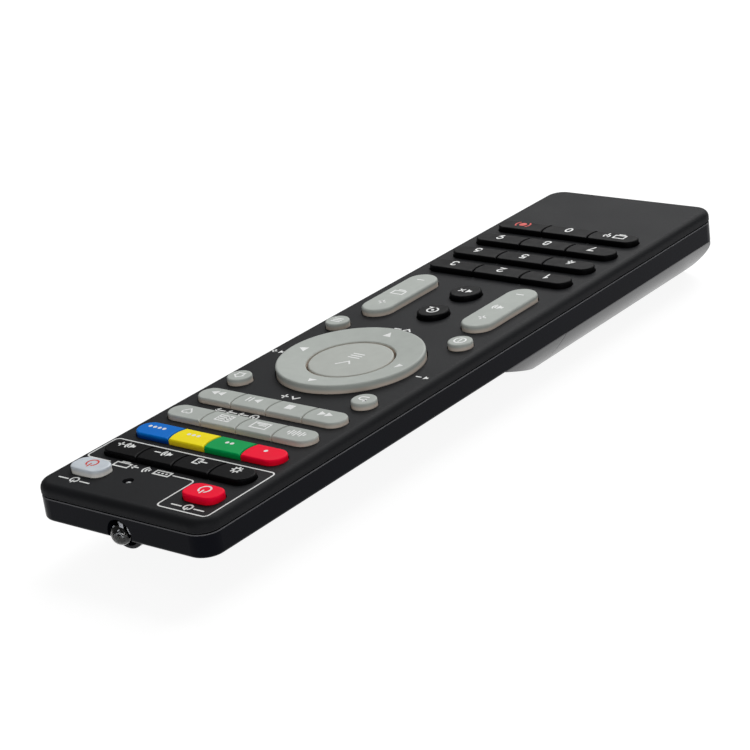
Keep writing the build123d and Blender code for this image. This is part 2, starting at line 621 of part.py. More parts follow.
def battery_cover():
    """The hump's shell behind the ramp, which slides off towards the tail."""
    y_high = RAMP_FOOT_Y - COVER_CLEARANCE
    top_z = SIDE_Z - COVER_CLEARANCE
    region = plain_box(-HALF_WIDTH, HALF_WIDTH, TAIL_Y, y_high, -OVERRUN, top_z)
    shell = hump_solid(0, FLOOR_Z + OVERRUN) & region
    hollow = hump_solid(COVER_WALL, FLOOR_Z + OVERRUN)
    reach = plain_box(-HALF_WIDTH, HALF_WIDTH, HUMP_TAIL_Y + COVER_WALL, FRONT_Y, -OVERRUN, TOP_Z)
    cover = shell - (hollow & reach)
    lug_high = FLOOR_Z - RAIL_DROP + RAIL_FOOT_THICKNESS + RAIL_CLEARANCE + LUG_THICKNESS
    lug_low = lug_high - LUG_THICKNESS
    lug_in = RAIL_X + RAIL_WEB + RAIL_CLEARANCE
    inside = hump_solid(COVER_WALL / 2, FLOOR_Z + OVERRUN)
    first = HUMP_TAIL_Y + RAIL_END_MARGIN + LUG_LENGTH
    last = RAMP_FOOT_Y - RAIL_END_MARGIN - 2 * LUG_LENGTH
    for side in (-1, 1):
        for y in (first, last):
            span = sorted((side * lug_in, side * HALF_WIDTH))
            lug = plain_box(span[0], span[1], y, y + LUG_LENGTH, lug_low, lug_high)
            cover = cover + (lug & inside)
    for index in range(GRIP_RIB_COUNT):
        y = y_high - GRIP_FROM_RAMP - index * GRIP_RIB_PITCH
        half = GRIP_RIB_LENGTH / 2
        cover = cover - plain_box(-half, half, y - GRIP_RIB_WIDTH, y, -OVERRUN, GRIP_RIB_DEPTH)
    return cover


# Inside the case

def keypad_mat():
    """The rubber mat around the keys, lying on the board."""
    y_high = FRONT_Y - MAT_END_MARGIN
    y_low = RING_Y - MAT_TAIL
    half = HALF_WIDTH - MAT_SIDE_MARGIN
    mat = plain_box(-half, half, y_low, y_high, BOARD_TOP_Z, BOARD_TOP_Z + MAT_THICKNESS)
    for cut in key_openings(FLANGE_WIDTH + MAT_HOLE_MARGIN, BOARD_TOP_Z + MAT_SHEET, ROOF_Z):
        mat = mat - cut
    under_ring = RING_RADIUS + RING_CLEARANCE + FLANGE_WIDTH + MAT_HOLE_MARGIN
    mat = mat - upright(under_ring, BOARD_TOP_Z - OVERRUN, ROOF_Z, 0, RING_Y)
    base = INDICATOR_BASE + 2 * MAT_HOLE_MARGIN
    place_y = from_front(INDICATOR_FROM_FRONT)
    mat = mat - Pos(INDICATOR_X, place_y, BOARD_TOP_Z) * Box(base, base, 4 * MAT_THICKNESS)
    return mat - lamp_notch()


def lamp_notch():
    """The notch in the front edge of mat and board, around the infrared lamp."""
    half = LED_FLANGE_RADIUS + LED_NOTCH_MARGIN
    back = FRONT_Y + LED_PROUD - LED_LENGTH - LED_NOTCH_MARGIN
    return plain_box(-half, half, back, FRONT_Y, FLOOR_Z, TOP_Z)


def circuit_board():
    """The printed circuit board."""
    y_high = FRONT_Y - BOARD_END_MARGIN
    y_low = RING_Y - MAT_TAIL
    half = HALF_WIDTH - BOARD_SIDE_MARGIN
    board = plain_box(-half, half, y_low, y_high, BOARD_BOTTOM_Z, BOARD_TOP_Z)
    return board - lamp_notch()


def under_board(size, x, y):
    """A small block soldered under the board."""
    return Pos(x, y, BOARD_BOTTOM_Z - size[2] / 2) * Box(*size)


def controller_chip():
    """The controller under the board."""
    size = (CHIP_SIZE, CHIP_LENGTH, CHIP_HEIGHT)
    return under_board(size, CHIP_X, from_front(CHIP_FROM_FRONT))


def capacitor():
    """The supply capacitor, lying under the board."""
    y = from_front(CAPACITOR_FROM_FRONT)
    z = BOARD_BOTTOM_Z - CAPACITOR_RADIUS
    return along_y(CAPACITOR_RADIUS, y, y + CAPACITOR_LENGTH, CAPACITOR_X, z)


def resistors():
    """The row of small resistors under the board."""
    group = []
    for index in range(RESISTOR_COUNT):
        y = from_front(RESISTOR_FROM_FRONT + index * RESISTOR_PITCH)
        group.append(under_board(RESISTOR_SIZE, RESISTOR_X, y))
    return Compound(group)


def infrared_lamp():
    """A 5 mm lamp with its flange and two leads bent up to the board."""
    axis_z = TOP_Z - LED_DROP
    tip = FRONT_Y + LED_PROUD
    dome_y = tip - LED_RADIUS
    back = tip - LED_LENGTH
    lamp = along_y(LED_RADIUS, back, dome_y, 0, axis_z)
    lamp = lamp + Pos(0, dome_y, axis_z) * Sphere(LED_RADIUS)
    lamp = lamp + along_y(LED_FLANGE_RADIUS, back, back + LED_FLANGE_LENGTH, 0, axis_z)
    for side in (-1, 1):
        x = side * LED_LEAD_PITCH / 2
        turn = back - LED_LEAD_RUN
        half = LED_LEAD / 2
        lamp = lamp + plain_box(x - half, x + half, turn, back, axis_z - half, axis_z + half)
        lamp = lamp + plain_box(x - half, x + half, turn - LED_LEAD, turn, axis_z - half, BOARD_BOTTOM_Z)
    return lamp


def indicator_lamp():
    """The small indicator lamp on the board, under its hole."""
    y = from_front(INDICATOR_FROM_FRONT)
    foot_top = BOARD_TOP_Z + INDICATOR_BASE_HEIGHT
    foot = Pos(INDICATOR_X, y, BOARD_TOP_Z + INDICATOR_BASE_HEIGHT / 2) * Box(
        INDICATOR_BASE, INDICATOR_BASE, INDICATOR_BASE_HEIGHT)
    dome_z = TOP_Z - INDICATOR_RECESS - INDICATOR_RADIUS
    lens = upright(INDICATOR_RADIUS, foot_top, dome_z, INDICATOR_X, y)
    return foot + lens + Pos(INDICATOR_X, y, dome_z) * Sphere(INDICATOR_RADIUS)


def battery_cells():
    """Two AAA cells side by side, laid in opposite directions."""
    cells = []
    plus_end = BAY_FRONT_Y - CONTACT_PLATE_REACH - CELL_NIPPLE_LENGTH
    minus_end = BAY_TAIL_Y + CONTACT_SPRING_REACH
    for side in (-1, 1):
        if side < 0:
            low, high = minus_end, plus_end
            nipple = (high, high + CELL_NIPPLE_LENGTH)
        else:
            low = BAY_TAIL_Y + CONTACT_PLATE_REACH + CELL_NIPPLE_LENGTH
            high = low + CELL_LENGTH
            nipple = (low - CELL_NIPPLE_LENGTH, low)
        cell = along_y(CELL_RADIUS, low, high, side * CELL_X, CELL_Z)
        cells.append(cell + along_y(CELL_NIPPLE_RADIUS, nipple[0], nipple[1], side * CELL_X, CELL_Z))
    return Compound(cells)


def leaf_contact(x, wall_y, direction):
    """A leaf contact that presses on a cell's flat end."""
    t = CONTACT_THICKNESS
    half = CONTACT_WIDTH / 2
    low = CELL_Z - CONTACT_HEIGHT / 2
    high = CELL_Z + CONTACT_HEIGHT / 2
    reach = CONTACT_SPRING_REACH - CONTACT_PRESS
    points = [(0, low), (0, high), (t, high), (reach, CELL_Z + t), (reach, CELL_Z - t), (t, low)]
    outer = make_face(Polyline(*points, close=True))
    inner_points = [(t, low + 2 * t), (t, high - 2 * t), (reach - t, CELL_Z)]
    inner = make_face(Polyline(*inner_points, close=True))
    profile = outer - inner
    contact = extrude(Plane.YZ * profile, half, both=True)
    if direction < 0:
        contact = mirror(contact, Plane.XZ)
    return Pos(x, wall_y, 0) * contact


def plate_contact(x, wall_y, direction):
    """A flat contact that a cell's nipple rests on."""
    reach = (CONTACT_PLATE_REACH - CONTACT_PRESS) * direction
    half = CONTACT_WIDTH / 2
    span = sorted((wall_y, wall_y + reach))
    half_height = CONTACT_HEIGHT / 2
    return plain_box(x - half, x + half, span[0], span[1], CELL_Z - half_height, CELL_Z + half_height)


def front_contacts():
    """The single plus plate and the single minus leaf at the front end of the bay."""
    return Compound([plate_contact(-CELL_X, BAY_FRONT_Y, -1), leaf_contact(CELL_X, BAY_FRONT_Y, -1)])


def bridge_contact():
    """The one-piece contact at the tail end, which joins the two cells."""
    leaf = leaf_contact(-CELL_X, BAY_TAIL_Y, 1)
    plate = plate_contact(CELL_X, BAY_TAIL_Y, 1)
    strip = plain_box(-CELL_X, CELL_X, BAY_TAIL_Y, BAY_TAIL_Y + CONTACT_THICKNESS,
                      CELL_Z + CONTACT_HEIGHT / 2 - BRIDGE_WIDTH, CELL_Z + CONTACT_HEIGHT / 2)
    return leaf + plate + strip


def case_screws():
    """Two screws that hold the case together under the battery cover."""
    group = []
    for x, y in screw_places():
        head_high = FLOOR_Z + SCREW_HEAD_HEIGHT
        screw = upright(SCREW_HEAD_RADIUS, FLOOR_Z, head_high, x, y)
        screw = screw + upright(SCREW_RADIUS, head_high, FLOOR_Z + SCREW_LENGTH, x, y)
        slot_high = FLOOR_Z + SCREW_SLOT_DEPTH
        half = SCREW_SLOT / 2
        screw = screw - plain_box(x - SCREW_HEAD_RADIUS, x + SCREW_HEAD_RADIUS, y - half, y + half,
                                  FLOOR_Z, slot_high)
        screw = screw - plain_box(x - half, x + half, y - SCREW_HEAD_RADIUS, y + SCREW_HEAD_RADIUS,
                                  FLOOR_Z, slot_high)
        group.append(screw)
    return Compound(group)


def all_keys():
    """Every key by its node name."""
    keys = {"power_key_right": power_key(1), "power_key_left": power_key(-1)}
    for name, place in FOUR_KEY_ROWS.items():
        row = row_keys(
            FOUR_KEY_COUNT, FOUR_KEY_PITCH, ROW_WIDTH, ROW_DEPTH, ROW_CURVE, ROW_KEY_PROUD,
            from_front(place))
        for index, key in enumerate(row):
            keys[f"{name}_key_{index + 1}"] = key
    for line, names in enumerate(NUMBER_NAMES):
        row = row_keys(
            THREE_KEY_COUNT, THREE_KEY_PITCH, NUMBER_ROW_WIDTH, NUMBER_ROW_DEPTH, NUMBER_ROW_CURVE,
            NUMBER_KEY_PROUD, from_front(NUMBER_ROW_FROM_FRONT + line * NUMBER_ROW_PITCH))
        for name, key in zip(names, row):
            keys[name] = key
    ends = {"front": SMALL_KEY_FRONT_FROM_FRONT, "tail": SMALL_KEY_TAIL_FROM_FRONT}
    for end, place in ends.items():
        for side, word in ((-1, "left"), (1, "right")):
            keys[f"small_key_{end}_{word}"] = round_key(
                SMALL_KEY_RADIUS, SMALL_KEY_PROUD, KEY_EDGE_RADIUS, side * SMALL_KEY_SPREAD,
                from_front(place))
    for name, place in (("recordings_key", RECORDINGS_KEY_FROM_FRONT), ("mute_key", MUTE_KEY_FROM_FRONT)):
        keys[name] = round_key(
            ROUND_KEY_RADIUS, ROUND_KEY_PROUD, ROUND_KEY_EDGE_RADIUS, 0, from_front(place))
    keys["direction_ring"] = direction_ring()
    keys["middle_key"] = middle_key()
    keys["rocker_left"] = rocker_key(-1)
    keys["rocker_right"] = rocker_key(1)
    return keys


NUMBER_NAMES = [
    ["number_key_1", "number_key_2", "number_key_3"],
    ["number_key_4", "number_key_5", "number_key_6"],
    ["number_key_7", "number_key_8", "number_key_9"],
    ["source_key", "number_key_0", "record_key"],
]


def all_parts():
    """Every node of the remote by name."""
    parts = {
        "upper_case": upper_case(),
        "lower_case": lower_case(),
        "battery_cover": battery_cover(),
        "keypad_mat": keypad_mat(),
        "ring_web": ring_web(),
        "circuit_board": circuit_board(),
        "controller_chip": controller_chip(),
        "resonator": under_board(RESONATOR_SIZE, RESONATOR_X, from_front(RESONATOR_FROM_FRONT)),
        "capacitor": capacitor(),
        "transistor": under_board(TRANSISTOR_SIZE, TRANSISTOR_X, from_front(TRANSISTOR_FROM_FRONT)),
        "resistors": resistors(),
        "infrared_lamp": infrared_lamp(),
        "indicator_lamp": indicator_lamp(),
        "battery_cells": battery_cells(),
        "front_contacts": front_contacts(),
        "bridge_contact": bridge_contact(),
        "case_screws": case_screws(),
    }
    parts.update(all_keys())
    return parts


os.makedirs("parts", exist_ok=True)
for node, shape in all_parts().items():
    export_step(shape, f"parts/{node}.step")
    print(node, round(shape.volume, 2))
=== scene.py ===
"""Looks of a slim remote control for a set-top box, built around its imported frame.

The remote lies along Y with its infrared lamp at +Y, and its keys look up. Sizes are in millimetres,
and become metres where a mesh or a shader takes them. Prints are read from the tail, so the top of
a mark is towards +Y and its right side is towards +X.
"""

import logging
import math
from dataclasses import dataclass, field
from enum import Enum, member
from functools import partial
from typing import Callable

import bpy
import numpy as np
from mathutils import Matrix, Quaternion, Vector


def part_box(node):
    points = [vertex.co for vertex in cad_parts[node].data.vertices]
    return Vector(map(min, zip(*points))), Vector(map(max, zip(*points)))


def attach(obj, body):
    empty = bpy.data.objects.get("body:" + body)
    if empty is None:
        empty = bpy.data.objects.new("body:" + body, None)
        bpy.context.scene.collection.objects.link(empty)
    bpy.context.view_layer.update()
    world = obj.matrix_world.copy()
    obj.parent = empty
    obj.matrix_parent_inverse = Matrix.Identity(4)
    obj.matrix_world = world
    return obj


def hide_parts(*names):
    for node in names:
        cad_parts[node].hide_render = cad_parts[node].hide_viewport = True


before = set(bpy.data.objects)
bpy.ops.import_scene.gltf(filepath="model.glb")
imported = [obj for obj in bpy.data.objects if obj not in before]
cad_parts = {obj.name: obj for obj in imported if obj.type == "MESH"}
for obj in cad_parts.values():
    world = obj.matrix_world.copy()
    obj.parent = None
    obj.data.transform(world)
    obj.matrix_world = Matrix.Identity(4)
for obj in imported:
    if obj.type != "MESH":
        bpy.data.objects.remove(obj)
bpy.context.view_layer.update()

LOG = logging.getLogger("remote")
MM = 0.001
PHOTO_PIXELS = 750
SHARP_ANGLE = math.radians(35)      # edges that turn more than this stay sharp
ARC_STEP = 12                       # degrees between two points of an arc
CORNER_POINTS = 9                   # points of a rounded corner
DOT_POINTS = 15                     # points along one side of a dot
DOT_END = 0.03                      # share of a half turn that each flat end of a dot takes
LEAST_COSINE = -0.6                 # sharpest turn that a line's sides follow
ROUND_END = np.radians([80, 55, 30])[:, None]       # points that round an open end

Array = np.ndarray
Colour = tuple[float, float, float]
Place = tuple[float, float]
HeightField = Callable[[Array, Array], Array]


# Meshes

@dataclass
class Patch:
    """Points in millimetres and the faces between them.

    Attributes:
        points: One row of x, y, z for each point.
        faces: Lists of point indices, turning anticlockwise seen from outside.
    """

    points: Array
    faces: list[list[int]]


def joined(patches: list[Patch]) -> Patch:
    """Put several patches into one.

    Args:
        patches: The patches, whose indices each start at zero.

    Returns:
        One patch that holds them all.
    """
    faces: list[list[int]] = []
    start = 0
    for patch in patches:
        faces += [[index + start for index in face] for face in patch.faces]
        start += len(patch.points)
    return Patch(np.concatenate([patch.points for patch in patches]), faces)


def grid(x: Array, y: Array, z: Array, close_u: bool = False, close_v: bool = False) -> Patch:
    """A surface on a grid of two parameters, u down the rows and v along them.

    Each cell of the grid is one quad, and a closed direction joins its last line to its first.

    Args:
        x: X of each grid point, as a table of u by v.
        y: Y of each grid point.
        z: Z of each grid point.
        close_u: Whether the surface closes on itself along u.
        close_v: Whether the surface closes on itself along v.

    Returns:
        The surface as a patch.
    """
    rows, columns = x.shape
    u = np.arange(rows if close_u else rows - 1)[:, None]
    v = np.arange(columns if close_v else columns - 1)[None, :]
    next_u, next_v = (u + 1) % rows, (v + 1) % columns
    corners = [u * columns + v, next_u * columns + v, next_u * columns + next_v, u * columns + next_v]
    quads = np.stack([np.broadcast_to(c, (u.size, v.size)) for c in corners], axis=-1).reshape(-1, 4)
    return Patch(np.stack([x, y, z], axis=-1).reshape(-1, 3).astype(float), quads.tolist())


def make_piece(name: str, patch: Patch, smooth: bool = False) -> bpy.types.Object:
    """Turn a patch into an object at the world's origin.

    Args:
        name: The object's name.
        patch: Its points, in millimetres, and faces.
        smooth: Whether its faces are shaded smoothly.

    Returns:
        The new object, linked to the scene.
    """
    mesh = bpy.data.meshes.new(name)
    mesh.from_pydata((patch.points * MM).tolist(), [], patch.faces)
    mesh.polygons.foreach_set("use_smooth", np.full(len(mesh.polygons), smooth))
    mesh.validate()
    mesh.update()
    piece = bpy.data.objects.new(name, mesh)
    bpy.context.scene.collection.objects.link(piece)
    return piece


def lathe(profile: list[Place], centre: Place, start: float, direction: int, steps: int = 48) -> Patch:
    """A turned shape about a line along Y: each profile point goes round a circle.

    x = centre x + radius * cos(angle), z = centre z + radius * sin(angle), y = start + direction *
    depth. The profile runs from the axis at its near end to the axis at its far end, and each of
    those two ends is closed by one many-sided face.

    Args:
        profile: Radius and depth of each point, all off the axis.
        centre: X and Z of the axis.
        start: Y of depth zero.
        direction: 1 where the depth grows towards +Y, and -1 where it grows towards -Y.
        steps: Points round the circle.

    Returns:
        The turned surface, closed at both ends.
    """
    radii, depth = np.array(profile, float).T
    angle = np.linspace(0, 2 * np.pi, steps, endpoint=False) * direction
    x = centre[0] + radii[:, None] * np.cos(angle)[None, :]
    z = centre[1] + radii[:, None] * np.sin(angle)[None, :]
    y = np.broadcast_to(start + direction * depth[:, None], x.shape)
    patch = grid(x, y, z, close_v=True)
    last = len(patch.points)
    patch.faces += [list(range(steps)), list(range(last - 1, last - steps - 1, -1))]
    return patch


def wire(path: list[tuple[float, float, float]], half: float, corner: float = 0.4) -> Patch:
    """A square wire bent in a plane across X, its cross-section carried along a rounded path.

    A point is the path's own point + half * (a * X + b * normal), where a and b are 1 or -1 and the
    normal is the path's direction turned by a quarter in the plane of Y and Z.

    Args:
        path: Corner points of the wire's middle line, all with the same x.
        half: Half the wire's width.
        corner: Radius of its bends.

    Returns:
        The wire, closed at both ends.
    """
    line = rounded_path([(point[1], point[2]) for point in path], corner)
    run = np.gradient(line, axis=0)
    run /= np.linalg.norm(run, axis=1, keepdims=True)
    normal = np.stack([-run[:, 1], run[:, 0]], axis=1)
    across = np.array([-1, -1, 1, 1]) * half
    lift = np.array([-1, 1, 1, -1]) * half
    x = np.broadcast_to(path[0][0] + across[None, :], (len(line), 4))
    y = line[:, :1] + normal[:, :1] * lift[None, :]
    z = line[:, 1:] + normal[:, 1:] * lift[None, :]
    patch = grid(x, y, z, close_v=True)
    last = len(patch.points)
    patch.faces += [[0, 1, 2, 3], [last - 1, last - 2, last - 3, last - 4]]
    return patch


# Shapes of ink

def arc_points(centre: Place, radii: Place, start: float, stop: float) -> Array:
    """Points on an ellipse from one angle to another, about one for each ARC_STEP.

    Args:
        centre: Middle of the ellipse.
        radii: Half its width and half its height.
        start: First angle, in degrees from +X.
        stop: Last angle.

    Returns:
        The points, one row each.
    """
    count = max(3, int(abs(stop - start) / ARC_STEP) + 1)
    angle = np.radians(np.linspace(start, stop, count))
    return np.stack([centre[0] + radii[0] * np.cos(angle), centre[1] + radii[1] * np.sin(angle)], axis=1)


def rounded_path(corners: list[Place], radius: float) -> Array:
    """A path of straight runs whose corners are arcs of one radius.

    Args:
        corners: The corner points, with the two ends.
        radius: Radius of each arc.

    Returns:
        The points of the path.
    """
    points = np.array(corners, float)
    out = [points[:1]]
    for before, here, after in zip(points, points[1:], points[2:]):
        to_before = (before - here) / np.linalg.norm(before - here)
        to_after = (after - here) / np.linalg.norm(after - here)
        half_turn = math.acos(float(np.clip(to_before @ to_after, -1, 1))) / 2
        middle = (to_before + to_after) / np.linalg.norm(to_before + to_after)
        centre = here + middle * radius / math.sin(half_turn)
        first = here + to_before * radius / math.tan(half_turn) - centre
        last = here + to_after * radius / math.tan(half_turn) - centre
        share = np.linspace(0, 1, CORNER_POINTS)[:, None]
        bow = first * (1 - share) + last * share
        out.append(centre + radius * bow / np.linalg.norm(bow, axis=1, keepdims=True))
    out.append(points[-1:])
    return np.concatenate(out)


class Pen:
    """Draws the flat shapes of one print and turns them into a film of ink.

    Attributes:
        width: Width of a drawn line.
        size: Scale of the whole drawing.
    """

    def __init__(self, width: float, size: float = 1.0) -> None:
        """Start with an empty sheet."""
        self.width = width
        self.size = size
        self.outlines: list[tuple[Array, Array, bool]] = []
        self.at(0, 0)

    def at(self, x: float, y: float, scale: float = 1.0) -> None:
        """Move the pen's origin, and scale what it draws from now on."""
        self.origin = np.array([x, y]) * self.size
        self.scale = scale * self.size

    def stroke(self, path: Array, closed: bool = False) -> None:
        """Draw along a path, with round ends where it is open.

        The two sides of the line lie half a width to either side of each point, along the sum of the
        two neighbouring normals divided by one plus their product, which keeps the width in corners.

        Args:
            path: The points of the path.
            closed: Whether the last point joins the first.
        """
        path = path * self.scale + self.origin
        half = self.width / 2
        step = np.diff(np.concatenate([path, path[:1]]) if closed else path, axis=0)
        step /= np.linalg.norm(step, axis=1, keepdims=True)
        normal = np.stack([-step[:, 1], step[:, 0]], axis=1)
        if closed:
            before, after = np.roll(normal, 1, axis=0), normal
        else:
            before = np.concatenate([normal[:1], normal])
            after = np.concatenate([normal, normal[-1:]])
        cosine = np.clip(np.sum(before * after, axis=1, keepdims=True), LEAST_COSINE, 1)
        side = (before + after) / (1 + cosine) * half
        if not closed:
            start = path[0] - step[0] * half * np.sin(ROUND_END)
            start_side = normal[0] * half * np.cos(ROUND_END)
            end = path[-1] + step[-1] * half * np.sin(ROUND_END[::-1])
            end_side = normal[-1] * half * np.cos(ROUND_END[::-1])
            path = np.concatenate([start, path, end])
            side = np.concatenate([start_side, side, end_side])
        self.outlines.append((path + side, path - side, closed))

    def line(self, *points: Place) -> None:
        """Draw straight runs from point to point."""
        self.stroke(np.array(points, float))

    def arc(self, centre: Place, radii: Place, start: float, stop: float) -> None:
        """Draw a part of an ellipse."""
        self.stroke(arc_points(centre, radii, start, stop))

    def loop(self, centre: Place, radii: Place) -> None:
        """Draw a whole ellipse."""
        self.stroke(arc_points(centre, radii, 0, 360 - ARC_STEP), closed=True)

    def frame(self, centre: Place, size: Place) -> None:
        """Draw a rectangle's outline."""
        x, y, w, h = *centre, size[0] / 2, size[1] / 2
        self.stroke(np.array([(x - w, y - h), (x + w, y - h), (x + w, y + h), (x - w, y + h)]), closed=True)

    def block(self, upper: list[Place], lower: list[Place]) -> None:
        """Fill the strip between two paths of equally many points, the first one to the left.

        Args:
            upper: Points of one side.
            lower: The points across from them.
        """
        sides = [np.array(side, float) * self.scale + self.origin for side in (upper, lower)]
        self.outlines.append((sides[0], sides[1], False))

    def dot(self, centre: Place, radius: float) -> None:
        """Fill a circle, as strips from its left side to its right."""
        angle = np.linspace(np.pi * (1 - DOT_END), np.pi * DOT_END, DOT_POINTS)
        x = centre[0] + radius * np.cos(angle)
        rise = radius * np.sin(angle)
        upper = np.stack([x, centre[1] + rise], axis=1)
        lower = np.stack([x, centre[1] - rise], axis=1)
        self.block(upper.tolist(), lower.tolist())

    def film(self, place: Place, height: HeightField, thickness: float) -> Patch:
        """The ink as closed strips: two sides on the surface, and the same two lifted off it.

        Args:
            place: Where the drawing's origin goes.
            height: The surface's height at points x and y.
            thickness: How far the ink stands above the surface, and reaches below it.

        Returns:
            The film as a patch.
        """
        patches = []
        for left, right, closed in self.outlines:
            ring = np.stack([left, left, right, right], axis=1) + np.array(place)
            lift = np.array([-thickness, thickness, thickness, -thickness])
            x, y = ring[..., 0], ring[..., 1]
            z = height(x, y) + lift[None, :]
            patch = grid(x, y, z, close_u=closed, close_v=True)
            if not closed:
                last = len(patch.points)
                patch.faces += [[0, 1, 2, 3], [last - 1, last - 2, last - 3, last - 4]]
            patches.append(patch)
        return joined(patches)


def draw_digit(pen: Pen, digit: int) -> None:
    """Draw a plain number, about 2 wide and 2.8 high.

    Args:
        pen: The pen to draw with.
        digit: A number from 0 to 9.
    """
    if digit == 0:
        pen.loop((0, 0), (0.88, 1.3))
    elif digit == 1:
        pen.line((-0.5, 0.75), (0.15, 1.3), (0.15, -1.3))
    elif digit == 2:
        top = arc_points((0, 0.5), (0.85, 0.8), 165, -38)
        pen.stroke(np.concatenate([top, [(-0.88, -1.3), (0.9, -1.3)]]))
    elif digit == 3:
        pen.arc((-0.05, 0.66), (0.75, 0.64), 155, -90)
        pen.arc((-0.05, -0.62), (0.88, 0.68), 90, -155)
    elif digit == 4:
        pen.line((0.35, -1.3), (0.35, 1.3))
        pen.line((0.3, 1.25), (-0.9, -0.6), (0.9, -0.6))
    elif digit == 5:
        bowl = arc_points((-0.05, -0.42), (0.88, 0.88), 125, -150)
        pen.stroke(np.concatenate([[(0.75, 1.3), (-0.55, 1.3)], bowl]))
    elif digit == 6:
        pen.loop((0, -0.46), (0.85, 0.84))
        pen.arc((0.75, -0.4), (1.6, 1.75), 178, 103)
    elif digit == 7:
        pen.line((-0.85, 1.3), (0.85, 1.3), (-0.25, -1.3))
    elif digit == 8:
        pen.loop((0, 0.66), (0.7, 0.64))
        pen.loop((0, -0.62), (0.86, 0.68))
    else:
        pen.loop((0, 0.46), (0.85, 0.84))
        pen.arc((-0.75, 0.4), (1.6, 1.75), -2, -77)


def draw_plus(pen: Pen) -> None:
    """Draw a plus sign."""
    pen.line((-0.75, 0), (0.75, 0))
    pen.line((0, -0.75), (0, 0.75))


def draw_minus(pen: Pen) -> None:
    """Draw a minus sign."""
    pen.line((-0.75, 0), (0.75, 0))


def draw_speaker(pen: Pen) -> None:
    """Draw a loudspeaker that faces right."""
    pen.block([(-0.9, 0.35), (-0.4, 0.35), (0.2, 0.85)], [(-0.9, -0.35), (-0.4, -0.35), (0.2, -0.85)])


def draw_sound(pen: Pen) -> None:
    """Draw a loudspeaker and its sound."""
    draw_speaker(pen)
    pen.arc((0.2, 0), (0.55, 0.55), -50, 50)
    pen.arc((0.2, 0), (1.05, 1.05), -50, 50)


def draw_power(pen: Pen) -> None:
    """Draw an open ring with a bar in its gap."""
    pen.arc((0, -0.15), (1.35, 1.35), 122, 418)
    pen.line((0, 0.3), (0, 1.55))


def draw_screen(pen: Pen) -> None:
    """Draw a screen on its foot."""
    pen.frame((0, 0.25), (2.6, 1.5))
    pen.line((-0.7, -1.0), (0.7, -1.0))


def draw_gear(pen: Pen) -> None:
    """Draw a small wheel with eight teeth."""
    pen.loop((0, 0), (0.62, 0.62))
    for angle in np.radians(np.arange(0, 360, 45)):
        tooth = np.array([math.cos(angle), math.sin(angle)])
        pen.stroke(np.stack([tooth * 0.8, tooth * 1.05]))


def draw_input(pen: Pen) -> None:
    """Draw an arrow that goes into a box."""
    pen.line((0, 0.9), (1.2, 0.9), (1.2, -0.9), (0, -0.9))
    pen.line((-1.5, 0), (0.3, 0))
    pen.line((-0.2, 0.5), (0.35, 0), (-0.2, -0.5))


def draw_triangle(pen: Pen) -> None:
    """Draw a filled triangle that points right."""
    pen.block([(-0.6, 0.8), (0.8, 0.03)], [(-0.6, -0.8), (0.8, -0.03)])


def draw_return(pen: Pen) -> None:
    """Draw an arrow that turns back to the left."""
    bow = arc_points((0.3, -0.15), (0.75, 0.65), 90, -90)
    pen.stroke(np.concatenate([[(-0.9, 0.5)], bow, [(-0.6, -0.8)]]))
    pen.line((-0.5, 0.95), (-0.95, 0.5), (-0.5, 0.05))


def draw_house(pen: Pen) -> None:
    """Draw a small house."""
    pen.line((-1.1, 0.1), (0, 1.05), (1.1, 0.1))
    pen.line((-0.75, 0), (-0.75, -0.9), (0.75, -0.9), (0.75, 0))


def draw_notice(pen: Pen) -> None:
    """Draw a dot over a short bar, in a ring."""
    pen.loop((0, 0), (1.15, 1.15))
    pen.line((0, -0.6), (0, 0.1))
    pen.dot((0, 0.55), 0.2)


def draw_list(pen: Pen) -> None:
    """Draw three lines of a list."""
    for y in (-0.7, 0, 0.7):
        pen.line((-1.0, y), (1.0, y))


def draw_wave(pen: Pen) -> None:
    """Draw bars of sound of different heights."""
    for index, half in enumerate((0.35, 0.8, 0.5, 1.05, 0.6, 0.85, 0.3)):
        x = (index - 3) * 0.62
        pen.line((x, -half), (x, half))


def draw_caption(pen: Pen) -> None:
    """Draw a frame with two lines at its foot."""
    pen.frame((0, 0), (3.6, 2.1))
    pen.line((-1.1, -0.1), (0.4, -0.1))
    pen.line((-1.1, -0.6), (1.1, -0.6))


def draw_table(pen: Pen) -> None:
    """Draw a table of three rows with a head."""
    pen.frame((0, 0), (3.2, 2.1))
    pen.line((-1.4, 0.35), (1.4, 0.35))
    pen.line((-0.5, 0.9), (-0.5, -0.9))
    pen.line((-1.4, -0.35), (1.4, -0.35))


def draw_heart(pen: Pen) -> None:
    """Draw a heart's outline."""
    left = arc_points((-0.52, 0.42), (0.55, 0.5), 20, 200)
    right = arc_points((0.52, 0.42), (0.55, 0.5), -20, 160)
    pen.stroke(np.concatenate([left, [(0, -0.95)], right]), closed=True)


def draw_reel(pen: Pen) -> None:
    """Draw a disc with its hub, and a bar under it."""
    pen.loop((0, 0.1), (1.15, 1.15))
    pen.dot((0, 0.1), 0.35)
    pen.line((0, -1.05), (1.5, -1.05))


def draw_mute(pen: Pen) -> None:
    """Draw a loudspeaker with a cross beside it."""
    pen.at(-0.6, 0)
    draw_speaker(pen)
    pen.at(0.85, 0)
    pen.line((-0.5, -0.5), (0.5, 0.5))
    pen.line((-0.5, 0.5), (0.5, -0.5))


def draw_broadcast(pen: Pen) -> None:
    """Draw a screen, and a mast with its waves."""
    pen.at(-1.5, 0)
    draw_screen(pen)
    pen.at(1.6, 0)
    pen.line((0, -1.0), (0, 0.3))
    pen.dot((0, 0.4), 0.25)
    for turn in (0, 180):
        pen.arc((0, 0.4), (0.7, 0.7), turn - 45, turn + 45)


